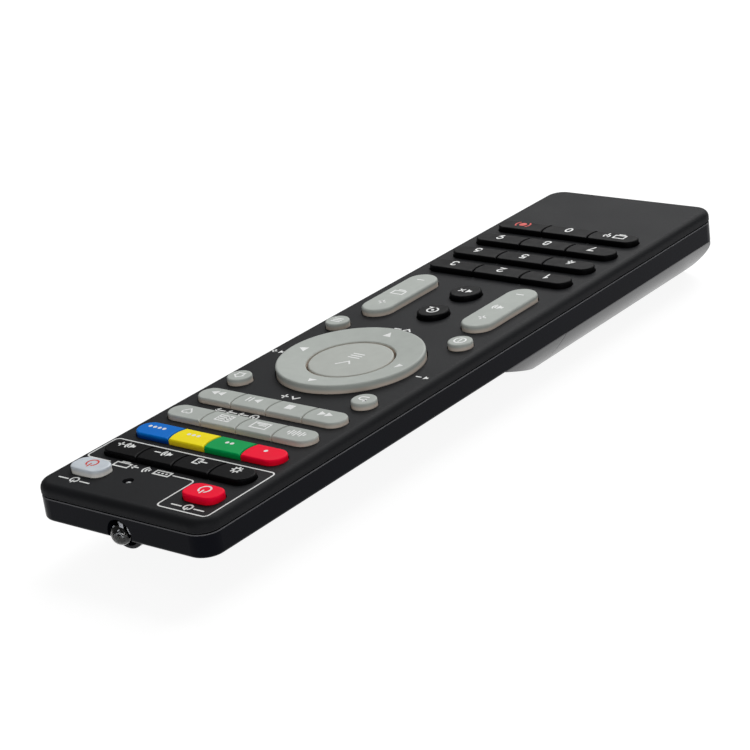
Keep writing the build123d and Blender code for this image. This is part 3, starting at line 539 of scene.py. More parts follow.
def draw_record(pen: Pen) -> None:
    """Draw a filled dot between two curved bars."""
    pen.dot((0, 0), 0.85)
    pen.arc((0, 0), (1.7, 1.5), -42, 42)
    pen.arc((0, 0), (1.7, 1.5), 138, 222)


def draw_clock(pen: Pen) -> None:
    """Draw a clock face with two hands."""
    pen.loop((0, 0), (0.95, 0.95))
    pen.line((0, 0.55), (0, 0), (0.45, 0))


def draw_loudness(pen: Pen, sign: Callable[[Pen], None]) -> None:
    """Draw a loudspeaker with its sound, and a plus or a minus beside it."""
    pen.at(-0.9, 0)
    draw_sound(pen)
    pen.at(1.6, 0, 0.85)
    sign(pen)


def draw_dots(pen: Pen, count: int) -> None:
    """Draw a row of dots."""
    for index in range(count):
        pen.dot(((index - (count - 1) / 2) * 1.15, 0), 0.4)


def draw_stop(pen: Pen) -> None:
    """Draw a filled square."""
    pen.block([(-0.85, 0.85), (0.85, 0.85)], [(-0.85, -0.85), (0.85, -0.85)])


def draw_play_pause(pen: Pen) -> None:
    """Draw a triangle with two bars beside it."""
    pen.at(-0.9, 0, 1.1)
    draw_triangle(pen)
    pen.at(0, 0)
    for x in (0.65, 1.5):
        pen.line((x, -0.75), (x, 0.75))


def draw_skip(pen: Pen, turn: int) -> None:
    """Draw two filled triangles that point right, or left where turn is -1."""
    for x in (-0.75, 0.85):
        pen.block([(x * turn - 0.75 * turn, 0.85 * turn), (x * turn + 0.75 * turn, 0.03 * turn)],
                  [(x * turn - 0.75 * turn, -0.85 * turn), (x * turn + 0.75 * turn, -0.03 * turn)])


def draw_rocker(pen: Pen, sign: Callable[[Pen], None]) -> None:
    """Draw a plus near the front of a rocker, a minus near its tail and a sign between them."""
    for place, scale, draw in ((7.0, 1.25, draw_plus), (0.2, 1.3, sign), (-8.5, 1.25, draw_minus)):
        pen.at(0, place, scale)
        draw(pen)


def draw_enter(pen: Pen) -> None:
    """Draw a tick over three lines of a list."""
    pen.at(0, 2.1, 1.9)
    pen.line((-0.75, 0.1), (-0.2, -0.55), (0.9, 0.7))
    pen.at(0, -2.1, 1.5)
    draw_list(pen)


class Mark(Enum):
    """The prints on the keys, each with the function that draws it."""

    POWER = member(draw_power)
    GEAR = member(draw_gear)
    INPUT = member(draw_input)
    QUIETER = member(partial(draw_loudness, sign=draw_minus))
    LOUDER = member(partial(draw_loudness, sign=draw_plus))
    ONE_DOT = member(partial(draw_dots, count=1))
    TWO_DOTS = member(partial(draw_dots, count=2))
    THREE_DOTS = member(partial(draw_dots, count=3))
    FOUR_DOTS = member(partial(draw_dots, count=4))
    WAVE = member(draw_wave)
    CAPTION = member(draw_caption)
    TABLE = member(draw_table)
    HEART = member(draw_heart)
    REWIND = member(partial(draw_skip, turn=-1))
    STOP = member(draw_stop)
    PLAY_PAUSE = member(draw_play_pause)
    FORWARD = member(partial(draw_skip, turn=1))
    RETURN = member(draw_return)
    HOUSE = member(draw_house)
    NOTICE = member(draw_notice)
    LIST = member(draw_list)
    REEL = member(draw_reel)
    MUTE = member(draw_mute)
    BROADCAST = member(draw_broadcast)
    RECORD = member(draw_record)
    ENTER = member(draw_enter)
    SOUND_ROCKER = member(partial(draw_rocker, sign=draw_sound))
    PLACE_ROCKER = member(partial(draw_rocker, sign=draw_screen))


KEY_MARKS: dict[str, Mark] = {
    "power_key_left": Mark.POWER,
    "power_key_right": Mark.POWER,
    "television_key_1": Mark.GEAR,
    "television_key_2": Mark.INPUT,
    "television_key_3": Mark.QUIETER,
    "television_key_4": Mark.LOUDER,
    "colour_key_1": Mark.ONE_DOT,
    "colour_key_2": Mark.TWO_DOTS,
    "colour_key_3": Mark.THREE_DOTS,
    "colour_key_4": Mark.FOUR_DOTS,
    "menu_key_1": Mark.WAVE,
    "menu_key_2": Mark.CAPTION,
    "menu_key_3": Mark.TABLE,
    "menu_key_4": Mark.HEART,
    "player_key_1": Mark.REWIND,
    "player_key_2": Mark.STOP,
    "player_key_3": Mark.PLAY_PAUSE,
    "player_key_4": Mark.FORWARD,
    "small_key_front_left": Mark.RETURN,
    "small_key_front_right": Mark.HOUSE,
    "small_key_tail_left": Mark.NOTICE,
    "small_key_tail_right": Mark.LIST,
    "recordings_key": Mark.REEL,
    "mute_key": Mark.MUTE,
    "source_key": Mark.BROADCAST,
    "record_key": Mark.RECORD,
    "middle_key": Mark.ENTER,
    "rocker_left": Mark.SOUND_ROCKER,
    "rocker_right": Mark.PLACE_ROCKER,
}


# Finishes

class Nodes:
    """A material's node tree, with short ways to add nodes to it."""

    def __init__(self, name: str) -> None:
        """Make a material with an empty tree and its output."""
        self.material = bpy.data.materials.new(name)
        self.material.use_nodes = True
        self.tree = self.material.node_tree
        self.tree.nodes.clear()
        self.output = self.tree.nodes.new("ShaderNodeOutputMaterial")
        self.coordinates = self.add("ShaderNodeTexCoord").outputs["Object"]

    def add(self, kind: str, **inputs: object) -> bpy.types.Node:
        """Add a node and set or link its inputs.

        Args:
            kind: Blender's name of the node.
            inputs: Values or output sockets by input name, with an underscore for each space.

        Returns:
            The new node.
        """
        node = self.tree.nodes.new(kind)
        for name, value in inputs.items():
            socket = node.inputs[name.replace("_", " ")]
            if isinstance(value, bpy.types.NodeSocket):
                self.tree.links.new(value, socket)
            else:
                socket.default_value = value
        return node

    def noise(self, feature: float, detail: float = 2.0) -> bpy.types.NodeSocket:
        """Noise whose features are about this many millimetres wide."""
        return self.add("ShaderNodeTexNoise", Vector=self.coordinates, Scale=1 / (feature * MM),
                        Detail=detail).outputs["Fac"]

    def ramp(self, source: bpy.types.NodeSocket, low: float, high: float, first: Colour,
             last: Colour) -> bpy.types.NodeSocket:
        """Colours between two levels of a pattern.

        Args:
            source: The pattern.
            low: Level of the first colour.
            high: Level of the last colour.
            first: The first colour.
            last: The last colour.

        Returns:
            The colour's socket.
        """
        node = self.add("ShaderNodeValToRGB", Fac=source)
        start, end = node.color_ramp.elements
        start.position, start.color = low, (*first, 1)
        end.position, end.color = high, (*last, 1)
        return node.outputs["Color"]

    def span(self, source: bpy.types.NodeSocket, low: float, high: float) -> bpy.types.NodeSocket:
        """A pattern spread from its middle half over two values."""
        node = self.add("ShaderNodeMapRange", Value=source)
        for name, value in (("From Min", 0.25), ("From Max", 0.75), ("To Min", low), ("To Max", high)):
            node.inputs[name].default_value = value
        return node.outputs["Result"]

    def height(self) -> bpy.types.NodeSocket:
        """Height over the frame's floor, in metres."""
        return self.add("ShaderNodeSeparateXYZ", Vector=self.coordinates).outputs["Z"]

    def rise(self, low: float, high: float) -> bpy.types.NodeSocket:
        """A share that grows from 0 at one height to 1 at another, in millimetres."""
        node = self.add("ShaderNodeMapRange", Value=self.height())
        node.inputs["From Min"].default_value = low * MM
        node.inputs["From Max"].default_value = high * MM
        return node.outputs["Result"]

    def band(self, middle: float, half: float) -> bpy.types.NodeSocket:
        """A share that is 1 within a band of heights and 0 outside it, in millimetres.

        Args:
            middle: Height of the band's middle.
            half: Half the band's width.

        Returns:
            The share's socket.
        """
        return self.maths("COMPARE", self.height(), middle * MM, half * MM)

    def maths(self, operation: str, *values: object) -> bpy.types.NodeSocket:
        """The result of one arithmetic node, whose values are sockets or numbers.

        Args:
            operation: Blender's name of what is done with them.
            values: The values, in the node's order.

        Returns:
            The result's socket.
        """
        node = self.add("ShaderNodeMath")
        node.operation = operation
        for socket, value in zip(node.inputs, values):
            if isinstance(value, bpy.types.NodeSocket):
                self.tree.links.new(value, socket)
            else:
                socket.default_value = value
        return node.outputs[0]

    def mixed(self, share: bpy.types.NodeSocket, first: object, last: object) -> bpy.types.NodeSocket:
        """A mix of two colours, each a socket or three numbers.

        Args:
            share: Share of the last colour.
            first: The first colour.
            last: The last colour.

        Returns:
            The mixed colour's socket.
        """
        node = self.tree.nodes.new("ShaderNodeMix")
        node.data_type = "RGBA"
        self.tree.links.new(share, node.inputs["Factor"])
        for socket, value in ((node.inputs[6], first), (node.inputs[7], last)):
            if isinstance(value, bpy.types.NodeSocket):
                self.tree.links.new(value, socket)
            else:
                socket.default_value = (*value, 1)
        return node.outputs[2]

    def relief(self, source: bpy.types.NodeSocket, depth: float, strength: float) -> bpy.types.NodeSocket:
        """Bumps from a pattern, a depth in millimetres."""
        return self.add("ShaderNodeBump", Height=source, Distance=depth * MM,
                        Strength=strength).outputs["Normal"]

    def surface(self, **inputs: object) -> bpy.types.Material:
        """Finish the material with one Principled shader and return it."""
        shader = self.add("ShaderNodeBsdfPrincipled", **inputs)
        self.tree.links.new(shader.outputs["BSDF"], self.output.inputs["Surface"])
        return self.material

    def two_gloss(self, share: bpy.types.NodeSocket, low: float, high: float,
                  **inputs: object) -> bpy.types.Material:
        """Finish the material with two Principled shaders that differ in their reflection.

        Args:
            share: Share of the second one.
            low: Level of the first one's specular reflection.
            high: Level of the second one's.
            inputs: What both have in common.

        Returns:
            The material.
        """
        mix = self.add("ShaderNodeMixShader", Fac=share)
        for socket, level in zip(mix.inputs[1:], (low, high)):
            shader = self.add("ShaderNodeBsdfPrincipled", Specular_IOR_Level=level, **inputs)
            self.tree.links.new(shader.outputs["BSDF"], socket)
        self.tree.links.new(mix.outputs[0], self.output.inputs["Surface"])
        return self.material


def shade(colour: Colour, factor: float) -> Colour:
    """A colour made lighter or darker by a factor."""
    return tuple(min(1.0, part * factor) for part in colour)


@dataclass(frozen=True)
class MouldedPlastic:
    """Moulded plastic with a fine texture, and a painted highlight: a lighter line where two shells meet,
    for the light caught by their rims.

    Attributes:
        name: The material's name.
        colour: Its colour.
        roughness: Roughness between the texture's grains.
        specular: Level of its specular reflection.
        grain: Width of the texture's grains.
        depth: Depth of the texture.
        edge_z: Height of the middle of the lighter line, a painted highlight.
        edge_half: Half its width.
        edge_colour: Its colour, painted light for the light caught at the rim.
        hump_specular: Level of the reflection of what hangs under the flat underside of the case.
        floor_z: Height of that underside.
        cloud: Width of the clouds in the colour and the gloss.
        wander: How far the roughness goes either way.
    """

    name: str
    colour: Colour
    roughness: float
    specular: float
    grain: float
    depth: float
    edge_z: float = 0.0
    edge_half: float = 0.0
    edge_colour: Colour = (0.1, 0.1, 0.1)
    hump_specular: float = 0.0
    floor_z: float = 10.5
    cloud: float = 18.0
    wander: float = 0.03

    def build(self) -> bpy.types.Material:
        """Make the material: cloudy colour, fine grains, roughness that wanders, and the painted highlight
        line where it has one.
        """
        nodes = Nodes(self.name)
        cloud = nodes.noise(self.cloud, 4.0)
        grains = nodes.noise(self.grain, 3.0)
        colour = nodes.ramp(cloud, 0.3, 0.7, shade(self.colour, 0.9), shade(self.colour, 1.12))
        if self.edge_half > 0:
            # Painted highlight: the colour is made lighter in a band of heights, for light caught by the
            # rim where the shells meet.
            painted_rim_highlight = nodes.band(self.edge_z, self.edge_half)
            colour = nodes.mixed(painted_rim_highlight, colour, self.edge_colour)
        roughness = nodes.span(cloud, self.roughness - self.wander, self.roughness + self.wander)
        normal = nodes.relief(grains, self.depth, 0.6)
        if self.hump_specular > 0:
            wall = nodes.rise(self.floor_z - 0.3, self.floor_z + 0.2)
            return nodes.two_gloss(wall, self.hump_specular, self.specular, Base_Color=colour,
                                   Roughness=roughness, Normal=normal)
        return nodes.surface(Base_Color=colour, Roughness=roughness, Specular_IOR_Level=self.specular,
                             Normal=normal)


@dataclass(frozen=True)
class Silicone:
    """Rubber of a key: matt, faintly soft to light, and with its sides painted another colour, painted
    light and shade for how the light falls on them.

    Attributes:
        name: The material's name.
        colour: Colour of its top.
        side: Colour painted on its sides for the light and shade that fall on them; lighter than the top on
            some keys and darker on others.
        roughness: Its mean roughness.
        specular: Level of its specular reflection.
        softness: How much light goes into the rubber and out again.
        side_low: Height where the painted side colour begins to give way to the top's.
        side_high: Height where the top's colour is reached.
        reach: How far the light gets inside the rubber.
    """

    name: str
    colour: Colour
    side: Colour
    roughness: float = 0.6
    specular: float = 0.12
    softness: float = 0.0
    side_low: float = 19.35
    side_high: float = 20.1
    reach: float = 1.1

    def build(self) -> bpy.types.Material:
        """Make the material: slight mottling, fine bumps, and a painted side colour, light and shade for
        the sides, that turns into the top's.
        """
        nodes = Nodes(self.name)
        mottle = nodes.noise(3.0, 3.0)
        peel = nodes.noise(0.35, 2.0)
        top = nodes.ramp(mottle, 0.3, 0.7, shade(self.colour, 0.96), shade(self.colour, 1.04))
        # Painted light and shade: below a given height the key takes its side colour, for how the light
        # falls on its sides.
        return nodes.surface(
            Base_Color=nodes.mixed(nodes.rise(self.side_low, self.side_high), self.side, top),
            Roughness=nodes.span(mottle, self.roughness - 0.04, self.roughness + 0.04),
            Specular_IOR_Level=self.specular,
            Subsurface_Weight=self.softness,
            Subsurface_Radius=(self.reach * MM, self.reach * MM, self.reach * MM),
            Normal=nodes.relief(peel, 0.02, 0.4))


@dataclass(frozen=True)
class PrintInk:
    """Screen-printed ink, a little uneven.

    Attributes:
        name: The material's name.
        colour: Its colour.
    """

    name: str
    colour: Colour

    def build(self) -> bpy.types.Material:
        """Make the material: fine grain in its colour, half matt."""
        nodes = Nodes(self.name)
        grain = nodes.noise(0.25, 3.0)
        return nodes.surface(
            Base_Color=nodes.ramp(grain, 0.25, 0.7, shade(self.colour, 0.82), self.colour),
            Roughness=nodes.span(grain, 0.42, 0.6),
            Specular_IOR_Level=0.4)


@dataclass(frozen=True)
class ClearResin:
    """Cast resin of a lamp.

    Attributes:
        name: The material's name.
        colour: Tint of the light that goes through.
        roughness: Roughness of its skin.
        clearness: Share of the light that goes through.
    """

    name: str
    colour: Colour
    roughness: float
    clearness: float

    def build(self) -> bpy.types.Material:
        """Make the material: as clear as asked, with faint flow marks in its skin."""
        nodes = Nodes(self.name)
        flow = nodes.noise(1.5, 2.0)
        return nodes.surface(
            Base_Color=nodes.ramp(flow, 0.3, 0.7, shade(self.colour, 0.92), self.colour),
            Roughness=nodes.span(flow, self.roughness, self.roughness + 0.03),
            IOR=1.5,
            Transmission_Weight=self.clearness,
            Normal=nodes.relief(flow, 0.01, 0.15))


@dataclass(frozen=True)
class Metal:
    """Plated or tinned metal with fine lines along X.

    Attributes:
        name: The material's name.
        colour: Its colour.
        roughness: Its mean roughness.
    """

    name: str
    colour: Colour
    roughness: float

    def build(self) -> bpy.types.Material:
        """Make the material: streaks stretched along X over a cloudy tarnish."""
        nodes = Nodes(self.name)
        stretch = nodes.add("ShaderNodeMapping", Vector=nodes.coordinates, Scale=(0.08, 1, 1))
        streaks = nodes.add("ShaderNodeTexNoise", Vector=stretch.outputs["Vector"], Scale=1 / (0.15 * MM),
                            Detail=3.0).outputs["Fac"]
        cloud = nodes.noise(2.5, 3.0)
        return nodes.surface(
            Base_Color=nodes.ramp(cloud, 0.3, 0.75, shade(self.colour, 0.8), self.colour),
            Metallic=1.0,
            Roughness=nodes.span(streaks, self.roughness - 0.07, self.roughness + 0.1),
            Normal=nodes.relief(streaks, 0.01, 0.3))


@dataclass(frozen=True)
class SolderMask:
    """The lacquered face of a circuit board, with its copper runs showing through.

    Attributes:
        name: The material's name.
        board: Colour over bare board.
        copper: Colour over copper.
    """

    name: str
    board: Colour
    copper: Colour

    def build(self) -> bpy.types.Material:
        """Make the material: runs as the edges of large bricks, raised by the copper's thickness."""
        nodes = Nodes(self.name)
        bricks = nodes.add("ShaderNodeTexBrick", Vector=nodes.coordinates, Scale=1 / (9.0 * MM),
                           Mortar_Size=0.035, Mortar_Smooth=0.15, Bias=0.0, Brick_Width=0.9,
                           Row_Height=0.22)
        return nodes.surface(
            Base_Color=nodes.ramp(bricks.outputs["Fac"], 0.2, 0.8, self.board, self.copper),
            Roughness=nodes.span(nodes.noise(4.0), 0.25, 0.35),
            Coat_Weight=0.4,
            Normal=nodes.relief(bricks.outputs["Fac"], 0.03, 0.5))


class Finish(Enum):
    """Every finish on the remote."""

    # On both shells, the colour given after the band's height and half width is a painted highlight, a
    # lighter line at the rim where the shells meet.
    TOP = MouldedPlastic("top_plastic", (0.0115, 0.012, 0.0135), 0.55, 0.07, 0.22, 0.02,
                         16.36, 0.09, (0.035, 0.035, 0.038))
    BASE = MouldedPlastic("base_plastic", (0.0022, 0.0027, 0.0055), 0.22, 0.045, 0.3, 0.008,
                          15.84, 0.09, (0.16, 0.16, 0.17), 0.16)
    # Each key's second colour is painted on its sides: painted light on the grey and milky keys, which are
    # lighter there, a warmer tone on the yellow, and painted shade on the red, green, blue and black keys,
    # which are darker there; the mat's is its own colour.
    GREY_KEY = Silicone("grey_silicone", (0.425, 0.452, 0.425), (0.66, 0.58, 0.5), softness=0.05)
    BLACK_KEY = Silicone("black_silicone", (0.0025, 0.0025, 0.003), (0.0015, 0.0015, 0.0018), 0.45, 0.04)
    RED_KEY = Silicone("red_silicone", (0.98, 0.001, 0.035), (0.85, 0.001, 0.02), 0.5, 0.05)
    GREEN_KEY = Silicone("green_silicone", (0.0, 0.35, 0.085), (0.0, 0.34, 0.07), 0.5, 0.05)
    YELLOW_KEY = Silicone("yellow_silicone", (0.98, 0.8, 0.01), (1.0, 0.72, 0.02), 0.5, 0.05, 0.1)
    BLUE_KEY = Silicone("blue_silicone", (0.0, 0.16, 0.62), (0.0, 0.05, 0.3), 0.5, 0.05)
    WHITE_KEY = Silicone("milky_silicone", (0.62, 0.67, 0.72), (0.97, 0.93, 0.86), 0.4, 0.3, 0.9,
                         19.1, 20.3, 4.5)
    MAT = Silicone("mat_silicone", (0.32, 0.32, 0.31), (0.32, 0.32, 0.31), 0.65)
    WHITE_INK = PrintInk("white_ink", (0.85, 0.86, 0.85))
    RED_INK = PrintInk("red_ink", (0.7, 0.035, 0.02))
    LENS = ClearResin("clear_resin", (0.5, 0.52, 0.55), 0.01, 1.0)
    SMALL_LAMP = ClearResin("frosted_resin", (0.62, 0.63, 0.64), 0.3, 0.35)
    NICKEL = Metal("nickel_plate", (0.75, 0.73, 0.7), 0.25)
    ZINC = Metal("zinc_plate", (0.5, 0.5, 0.52), 0.35)
    TIN = Metal("tinned_can", (0.8, 0.8, 0.8), 0.2)
    BOARD = SolderMask("solder_mask", (0.01, 0.09, 0.03), (0.03, 0.2, 0.07))
    CHIP = MouldedPlastic("package_plastic", (0.02, 0.02, 0.02), 0.6, 0.4, 0.1, 0.02)
    SLEEVE = MouldedPlastic("sleeve_film", (0.01, 0.045, 0.2), 0.22, 0.5, 0.6, 0.004)
    SLEEVE_BAND = MouldedPlastic("sleeve_band", (0.5, 0.5, 0.52), 0.25, 0.5, 0.6, 0.004)
    SEAL = MouldedPlastic("seal_plastic", (0.03, 0.03, 0.03), 0.5, 0.4, 0.3, 0.01)

    def material(self) -> bpy.types.Material:
        """The finish's material, made the first time that it is asked for."""
        if self not in MADE:
            MADE[self] = self.value.build()
        return MADE[self]


MADE: dict[Finish, bpy.types.Material] = {}


def dress(piece: bpy.types.Object, finish: Finish) -> None:
    """Give a piece one finish all over."""
    piece.data.materials.clear()
    piece.data.materials.append(finish.material())


def dress_node(node: str, finish: Finish) -> None:
    """Give a piece of the frame one finish, keeping its mesh as it is."""
    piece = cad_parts[node]
    for slot in piece.material_slots:
        slot.material = finish.material()


def box_mm(node: str) -> tuple[Vector, Vector]:
    """Lowest and highest corner of a node, in millimetres."""
    low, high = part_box(node)
    return low / MM, high / MM


# Sub-assemblies

@dataclass
class Case:
    """The two shells, the battery cover and the line print on the top.

    Attributes:
        line_width: Width of the printed line.
        line_radius: Radius of its corners.
        line_left: X of its left side.
        line_right: X of its right side.
        line_front: Its front end, from the front of the case.
        line_back: Its back, from the front of the case.
        line_step: Its step between the power key and the next row, from the front of the case.
        step_left: X where the line leaves the front-left corner.
        gap: X of the two ends of the line, either side of the label.
        label_width: Width of the lines of a label.
        ink: Half the thickness of a print.
        labels: Middle of each label, as x and the distance from the front of the case.
    """

    line_width: float = 0.36
    line_radius: float = 1.2
    line_left: float = -23.08
    line_right: float = 23.08
    line_front: float = 3.02
    line_back: float = 25.06
    line_step: float = 15.2
    step_left: float = -9.15
    gap: Place = (-2.8, 15.8)
    label_width: float = 0.42
    ink: float = 0.02
    labels: dict[str, Place] = field(default_factory=lambda: {
        "left_power": (-16.45, 4.85),
        "right_power": (16.45, 4.85),
        "television": (6.2, 15.15),
        "shift": (6.4, 45.75),
        "up": (0.8, 57.65),
        "down": (1.3, 99.85),
        "right": (21.9, 78.0),
        "left": (-20.9, 78.0),
    })

    def build(self) -> list[bpy.types.Object]:
        """Dress the shells and print the line and the labels.

        Returns:
            The new pieces.
        """
        dress_node("upper_case", Finish.TOP)
        dress_node("lower_case", Finish.BASE)
        dress_node("battery_cover", Finish.BASE)
        return [self.print_case()]

    def from_front(self, x: float, distance: float) -> Place:
        """A place on the top face, given from the front of the case."""
        return x, self.front_y - distance

    @property
    def front_y(self) -> float:
        """Y of the front of the case."""
        return box_mm("upper_case")[1].y

    def print_case(self) -> bpy.types.Object:
        """The line and the label prints, as one film of ink on the top face.

        Returns:
            The print, riding on the case.
        """
        top = box_mm("upper_case")[1].z
        pen = Pen(self.line_width)
        corners = [(self.gap[0], self.line_step), (self.step_left, self.line_step),
                   (self.step_left, self.line_front), (self.line_left, self.line_front),
                   (self.line_left, self.line_back), (self.line_right, self.line_back),
                   (self.line_right, self.line_step), (self.gap[1], self.line_step)]
        pen.stroke(rounded_path([self.from_front(x, d) for x, d in corners], self.line_radius))
        pen.width = self.label_width
        self.draw_labels(pen)
        film = pen.film((0, 0), lambda x, y: np.full(x.shape, top), self.ink)
        piece = make_piece("case_print", film)
        dress(piece, Finish.WHITE_INK)
        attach(piece, "case")
        return piece

    def draw_labels(self, pen: Pen) -> None:
        """Draw small signs where the case is labelled.

        Args:
            pen: The pen, in the frame's own x and y.
        """
        for side in ("left_power", "right_power"):
            x, y = self.from_front(*self.labels[side])
            pen.at(x, y - 0.1, 0.72)
            draw_power(pen)
            for turn in (-1, 1):
                pen.at(x + turn * 3.1, y)
                pen.line((-1.3, 0), (1.3, 0))
        self.draw_television_label(pen)
        x, y = self.from_front(*self.labels["shift"])
        pen.at(x - 5.3, y, 1.05)
        draw_clock(pen)
        for start in (-3.4, 0.0, 3.4):
            pen.at(x + start, y)
            pen.line((0, 0), (2.6, 0))
            pen.line((1.9, 0.75), (2.65, 0), (1.9, -0.75))
        for name, mark, rise in (("up", draw_plus, 1), ("down", draw_minus, -1)):
            x, y = self.from_front(*self.labels[name])
            pen.at(x - 1.4, y, 1.15)
            pen.line((-0.9, -0.45 * rise), (0, 0.5 * rise), (0.9, -0.45 * rise))
            pen.at(x + 1.5, y, 1.15)
            mark(pen)
        for name, mark in (("right", draw_plus), ("left", draw_minus)):
            x, y = self.from_front(*self.labels[name])
            pen.at(x - 0.9, y, 0.95)
            draw_speaker(pen)
            pen.at(x + 0.9, y, 0.8)
            mark(pen)

    def draw_television_label(self, pen: Pen) -> None:
        """Draw a small remote, its waves and a screen.

        Args:
            pen: The pen, in the frame's own x and y.
        """
        x, y = self.from_front(*self.labels["television"])
        pen.at(x - 6.0, y)
        pen.frame((0, 0), (4.2, 1.7))
        for key in (-1.1, 0.0, 1.1):
            pen.dot((key, 0), 0.3)
        pen.at(x - 2.6, y)
        for radius in (0.5, 1.3, 2.1):
            pen.arc((0, 0), (radius, radius * 0.8), -42, 42)
        pen.at(x + 1.2, y)
        pen.line((0, 0), (1.7, 0))
        pen.line((1.1, 0.6), (1.7, 0), (1.1, -0.6))
        pen.at(x + 5.7, y, 1.15)
        pen.frame((0, 0.2), (3.6, 1.5))
        pen.line((-0.9, -1.0), (0.9, -1.0))


@dataclass
class Keypad:
    """The keys of the rows, the round keys and the rockers, with their prints.

    Attributes:
        stroke: Width of the lines of a print.
        mark_size: Scale of the prints on the small keys.
        digit_stroke: Width of the lines of a number.
        digit_size: Scale of the numbers.
        ink: Half the thickness of a print.
        shifts: How far a print sits from the key's middle to the right and up, by the key's kind.
    """

    stroke: float = 0.4
    mark_size: float = 1.2
    digit_stroke: float = 0.46
    digit_size: float = 0.88
    ink: float = 0.02
    shifts: dict[str, Place] = field(default_factory=lambda: {
        "power": (0.0, -0.4), "television": (0.35, -1.0), "colour": (0.8, -0.75), "menu": (0.5, -0.3),
        "player": (0.9, -0.65), "number": (0.5, -0.7), "source": (0.5, -0.7), "record": (0.5, -0.7)})

    def finish_of(self, node: str) -> Finish:
        """The finish of a key.

        Args:
            node: The key's name.

        Returns:
            Its finish.
        """
        named = {
            "power_key_left": Finish.RED_KEY,
            "power_key_right": Finish.WHITE_KEY,
            "colour_key_1": Finish.RED_KEY,
            "colour_key_2": Finish.GREEN_KEY,
            "colour_key_3": Finish.YELLOW_KEY,
            "colour_key_4": Finish.BLUE_KEY,
        }
        if node in named:
            return named[node]
        grey = node.startswith(("menu", "player", "small", "rocker"))
        return Finish.GREY_KEY if grey else Finish.BLACK_KEY

    def build(self) -> list[bpy.types.Object]:
        """Dress every key and print its mark.

        Returns:
            The new pieces.
        """
        keys = [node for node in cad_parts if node.endswith("_key") or "_key_" in node]
        keys = [node for node in keys if node != "middle_key"] + ["rocker_left", "rocker_right"]
        pieces = []
        for node in sorted(keys):
            dress_node(node, self.finish_of(node))
            pieces.append(self.print_key(node))
        return pieces

    def print_key(self, node: str) -> bpy.types.Object:
        """One key's print, near the middle of its top.

        Args:
            node: The key's name.

        Returns:
            The print, riding on the key.
        """
        low, high = box_mm(node)
        kind = node.split("_")[0]
        if kind == "number":
            pen = Pen(self.digit_stroke, self.digit_size)
            draw_digit(pen, int(node[-1]))
        else:
            large = kind in ("power", "rocker", "middle")
            pen = Pen(self.stroke, 1.0 if large else self.mark_size)
            KEY_MARKS[node].value(pen)
        right, up = self.shifts.get(kind, (0.0, 0.0))
        middle = ((low.x + high.x) / 2 + right, (low.y + high.y) / 2 + up)
        film = pen.film(middle, lambda x, y: np.full(x.shape, high.z), self.ink)
        piece = make_piece(f"print_{node}", film)
        red = node in ("record_key", "power_key_right")
        dress(piece, Finish.RED_INK if red else Finish.WHITE_INK)
        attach(piece, node)
        return piece


@dataclass
class DirectionPad:
    """The direction ring, the key in its middle and their prints.

    Attributes:
        outer_radius: Radius of the ring.
        inner_radius: Radius of the ring's hole.
        rim_proud: The face's rim over the top of the case.
        inner_proud: The face's inner edge over the top of the case.
        mark_radius: Distance of the four triangles from the middle.
        mark_size: Size of a triangle.
        ink: Half the thickness of a print.
    """

    outer_radius: float = 17.4
    inner_radius: float = 10.45
    rim_proud: float = 2.0
    inner_proud: float = 1.05
    mark_radius: float = 14.2
    mark_size: float = 1.35
    ink: float = 0.02

    def build(self) -> list[bpy.types.Object]:
        """Dress the ring and its middle key, and print both.

        Returns:
            The new pieces.
        """
        dress_node("direction_ring", Finish.GREY_KEY)
        dress_node("ring_web", Finish.MAT)
        dress_node("middle_key", Finish.GREY_KEY)
        return [self.print_ring(), Keypad(stroke=0.42).print_key("middle_key")]

    def print_ring(self) -> bpy.types.Object:
        """Four triangles that point outwards, on the ring's sloping face.

        Returns:
            The print, riding on the ring.
        """
        low, high = box_mm("direction_ring")
        centre = ((low.x + high.x) / 2, (low.y + high.y) / 2)
        top = box_mm("upper_case")[1].z

        def height(x: Array, y: Array) -> Array:
            """Height of the face, which falls evenly from the rim to the hole."""
            radius = np.hypot(x - centre[0], y - centre[1])
            share = (self.outer_radius - radius) / (self.outer_radius - self.inner_radius)
            return top + self.rim_proud - (self.rim_proud - self.inner_proud) * share

        pen = Pen(0.3)
        for turn in range(4):
            angle = turn * math.pi / 2
            out = np.array([math.cos(angle), math.sin(angle)])
            side = np.array([-out[1], out[0]])
            base = out * (self.mark_radius - self.mark_size * 0.6)
            tip = out * (self.mark_radius + self.mark_size * 0.8)
            half = side * self.mark_size * 0.85
            pen.block([base + half, tip + half * 0.03], [base - half, tip - half * 0.03])
        piece = make_piece("print_ring", pen.film(centre, height, self.ink))
        dress(piece, Finish.WHITE_INK)
        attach(piece, "direction_ring")
        return piece


@dataclass
class Electronics:
    """The board and all that is soldered to it or touches the cells."""

    def build(self) -> list[bpy.types.Object]:
        """Dress the inner pieces.

        Returns:
            The new pieces.
        """
        finishes = {
            "keypad_mat": Finish.MAT,
            "circuit_board": Finish.BOARD,
            "controller_chip": Finish.CHIP,
            "resonator": Finish.TIN,
            "capacitor": Finish.CHIP,
            "transistor": Finish.CHIP,
            "resistors": Finish.CHIP,
            "indicator_lamp": Finish.SMALL_LAMP,
            "front_contacts": Finish.NICKEL,
            "bridge_contact": Finish.NICKEL,
            "case_screws": Finish.ZINC,
        }
        for node, finish in finishes.items():
            dress_node(node, finish)
        return []


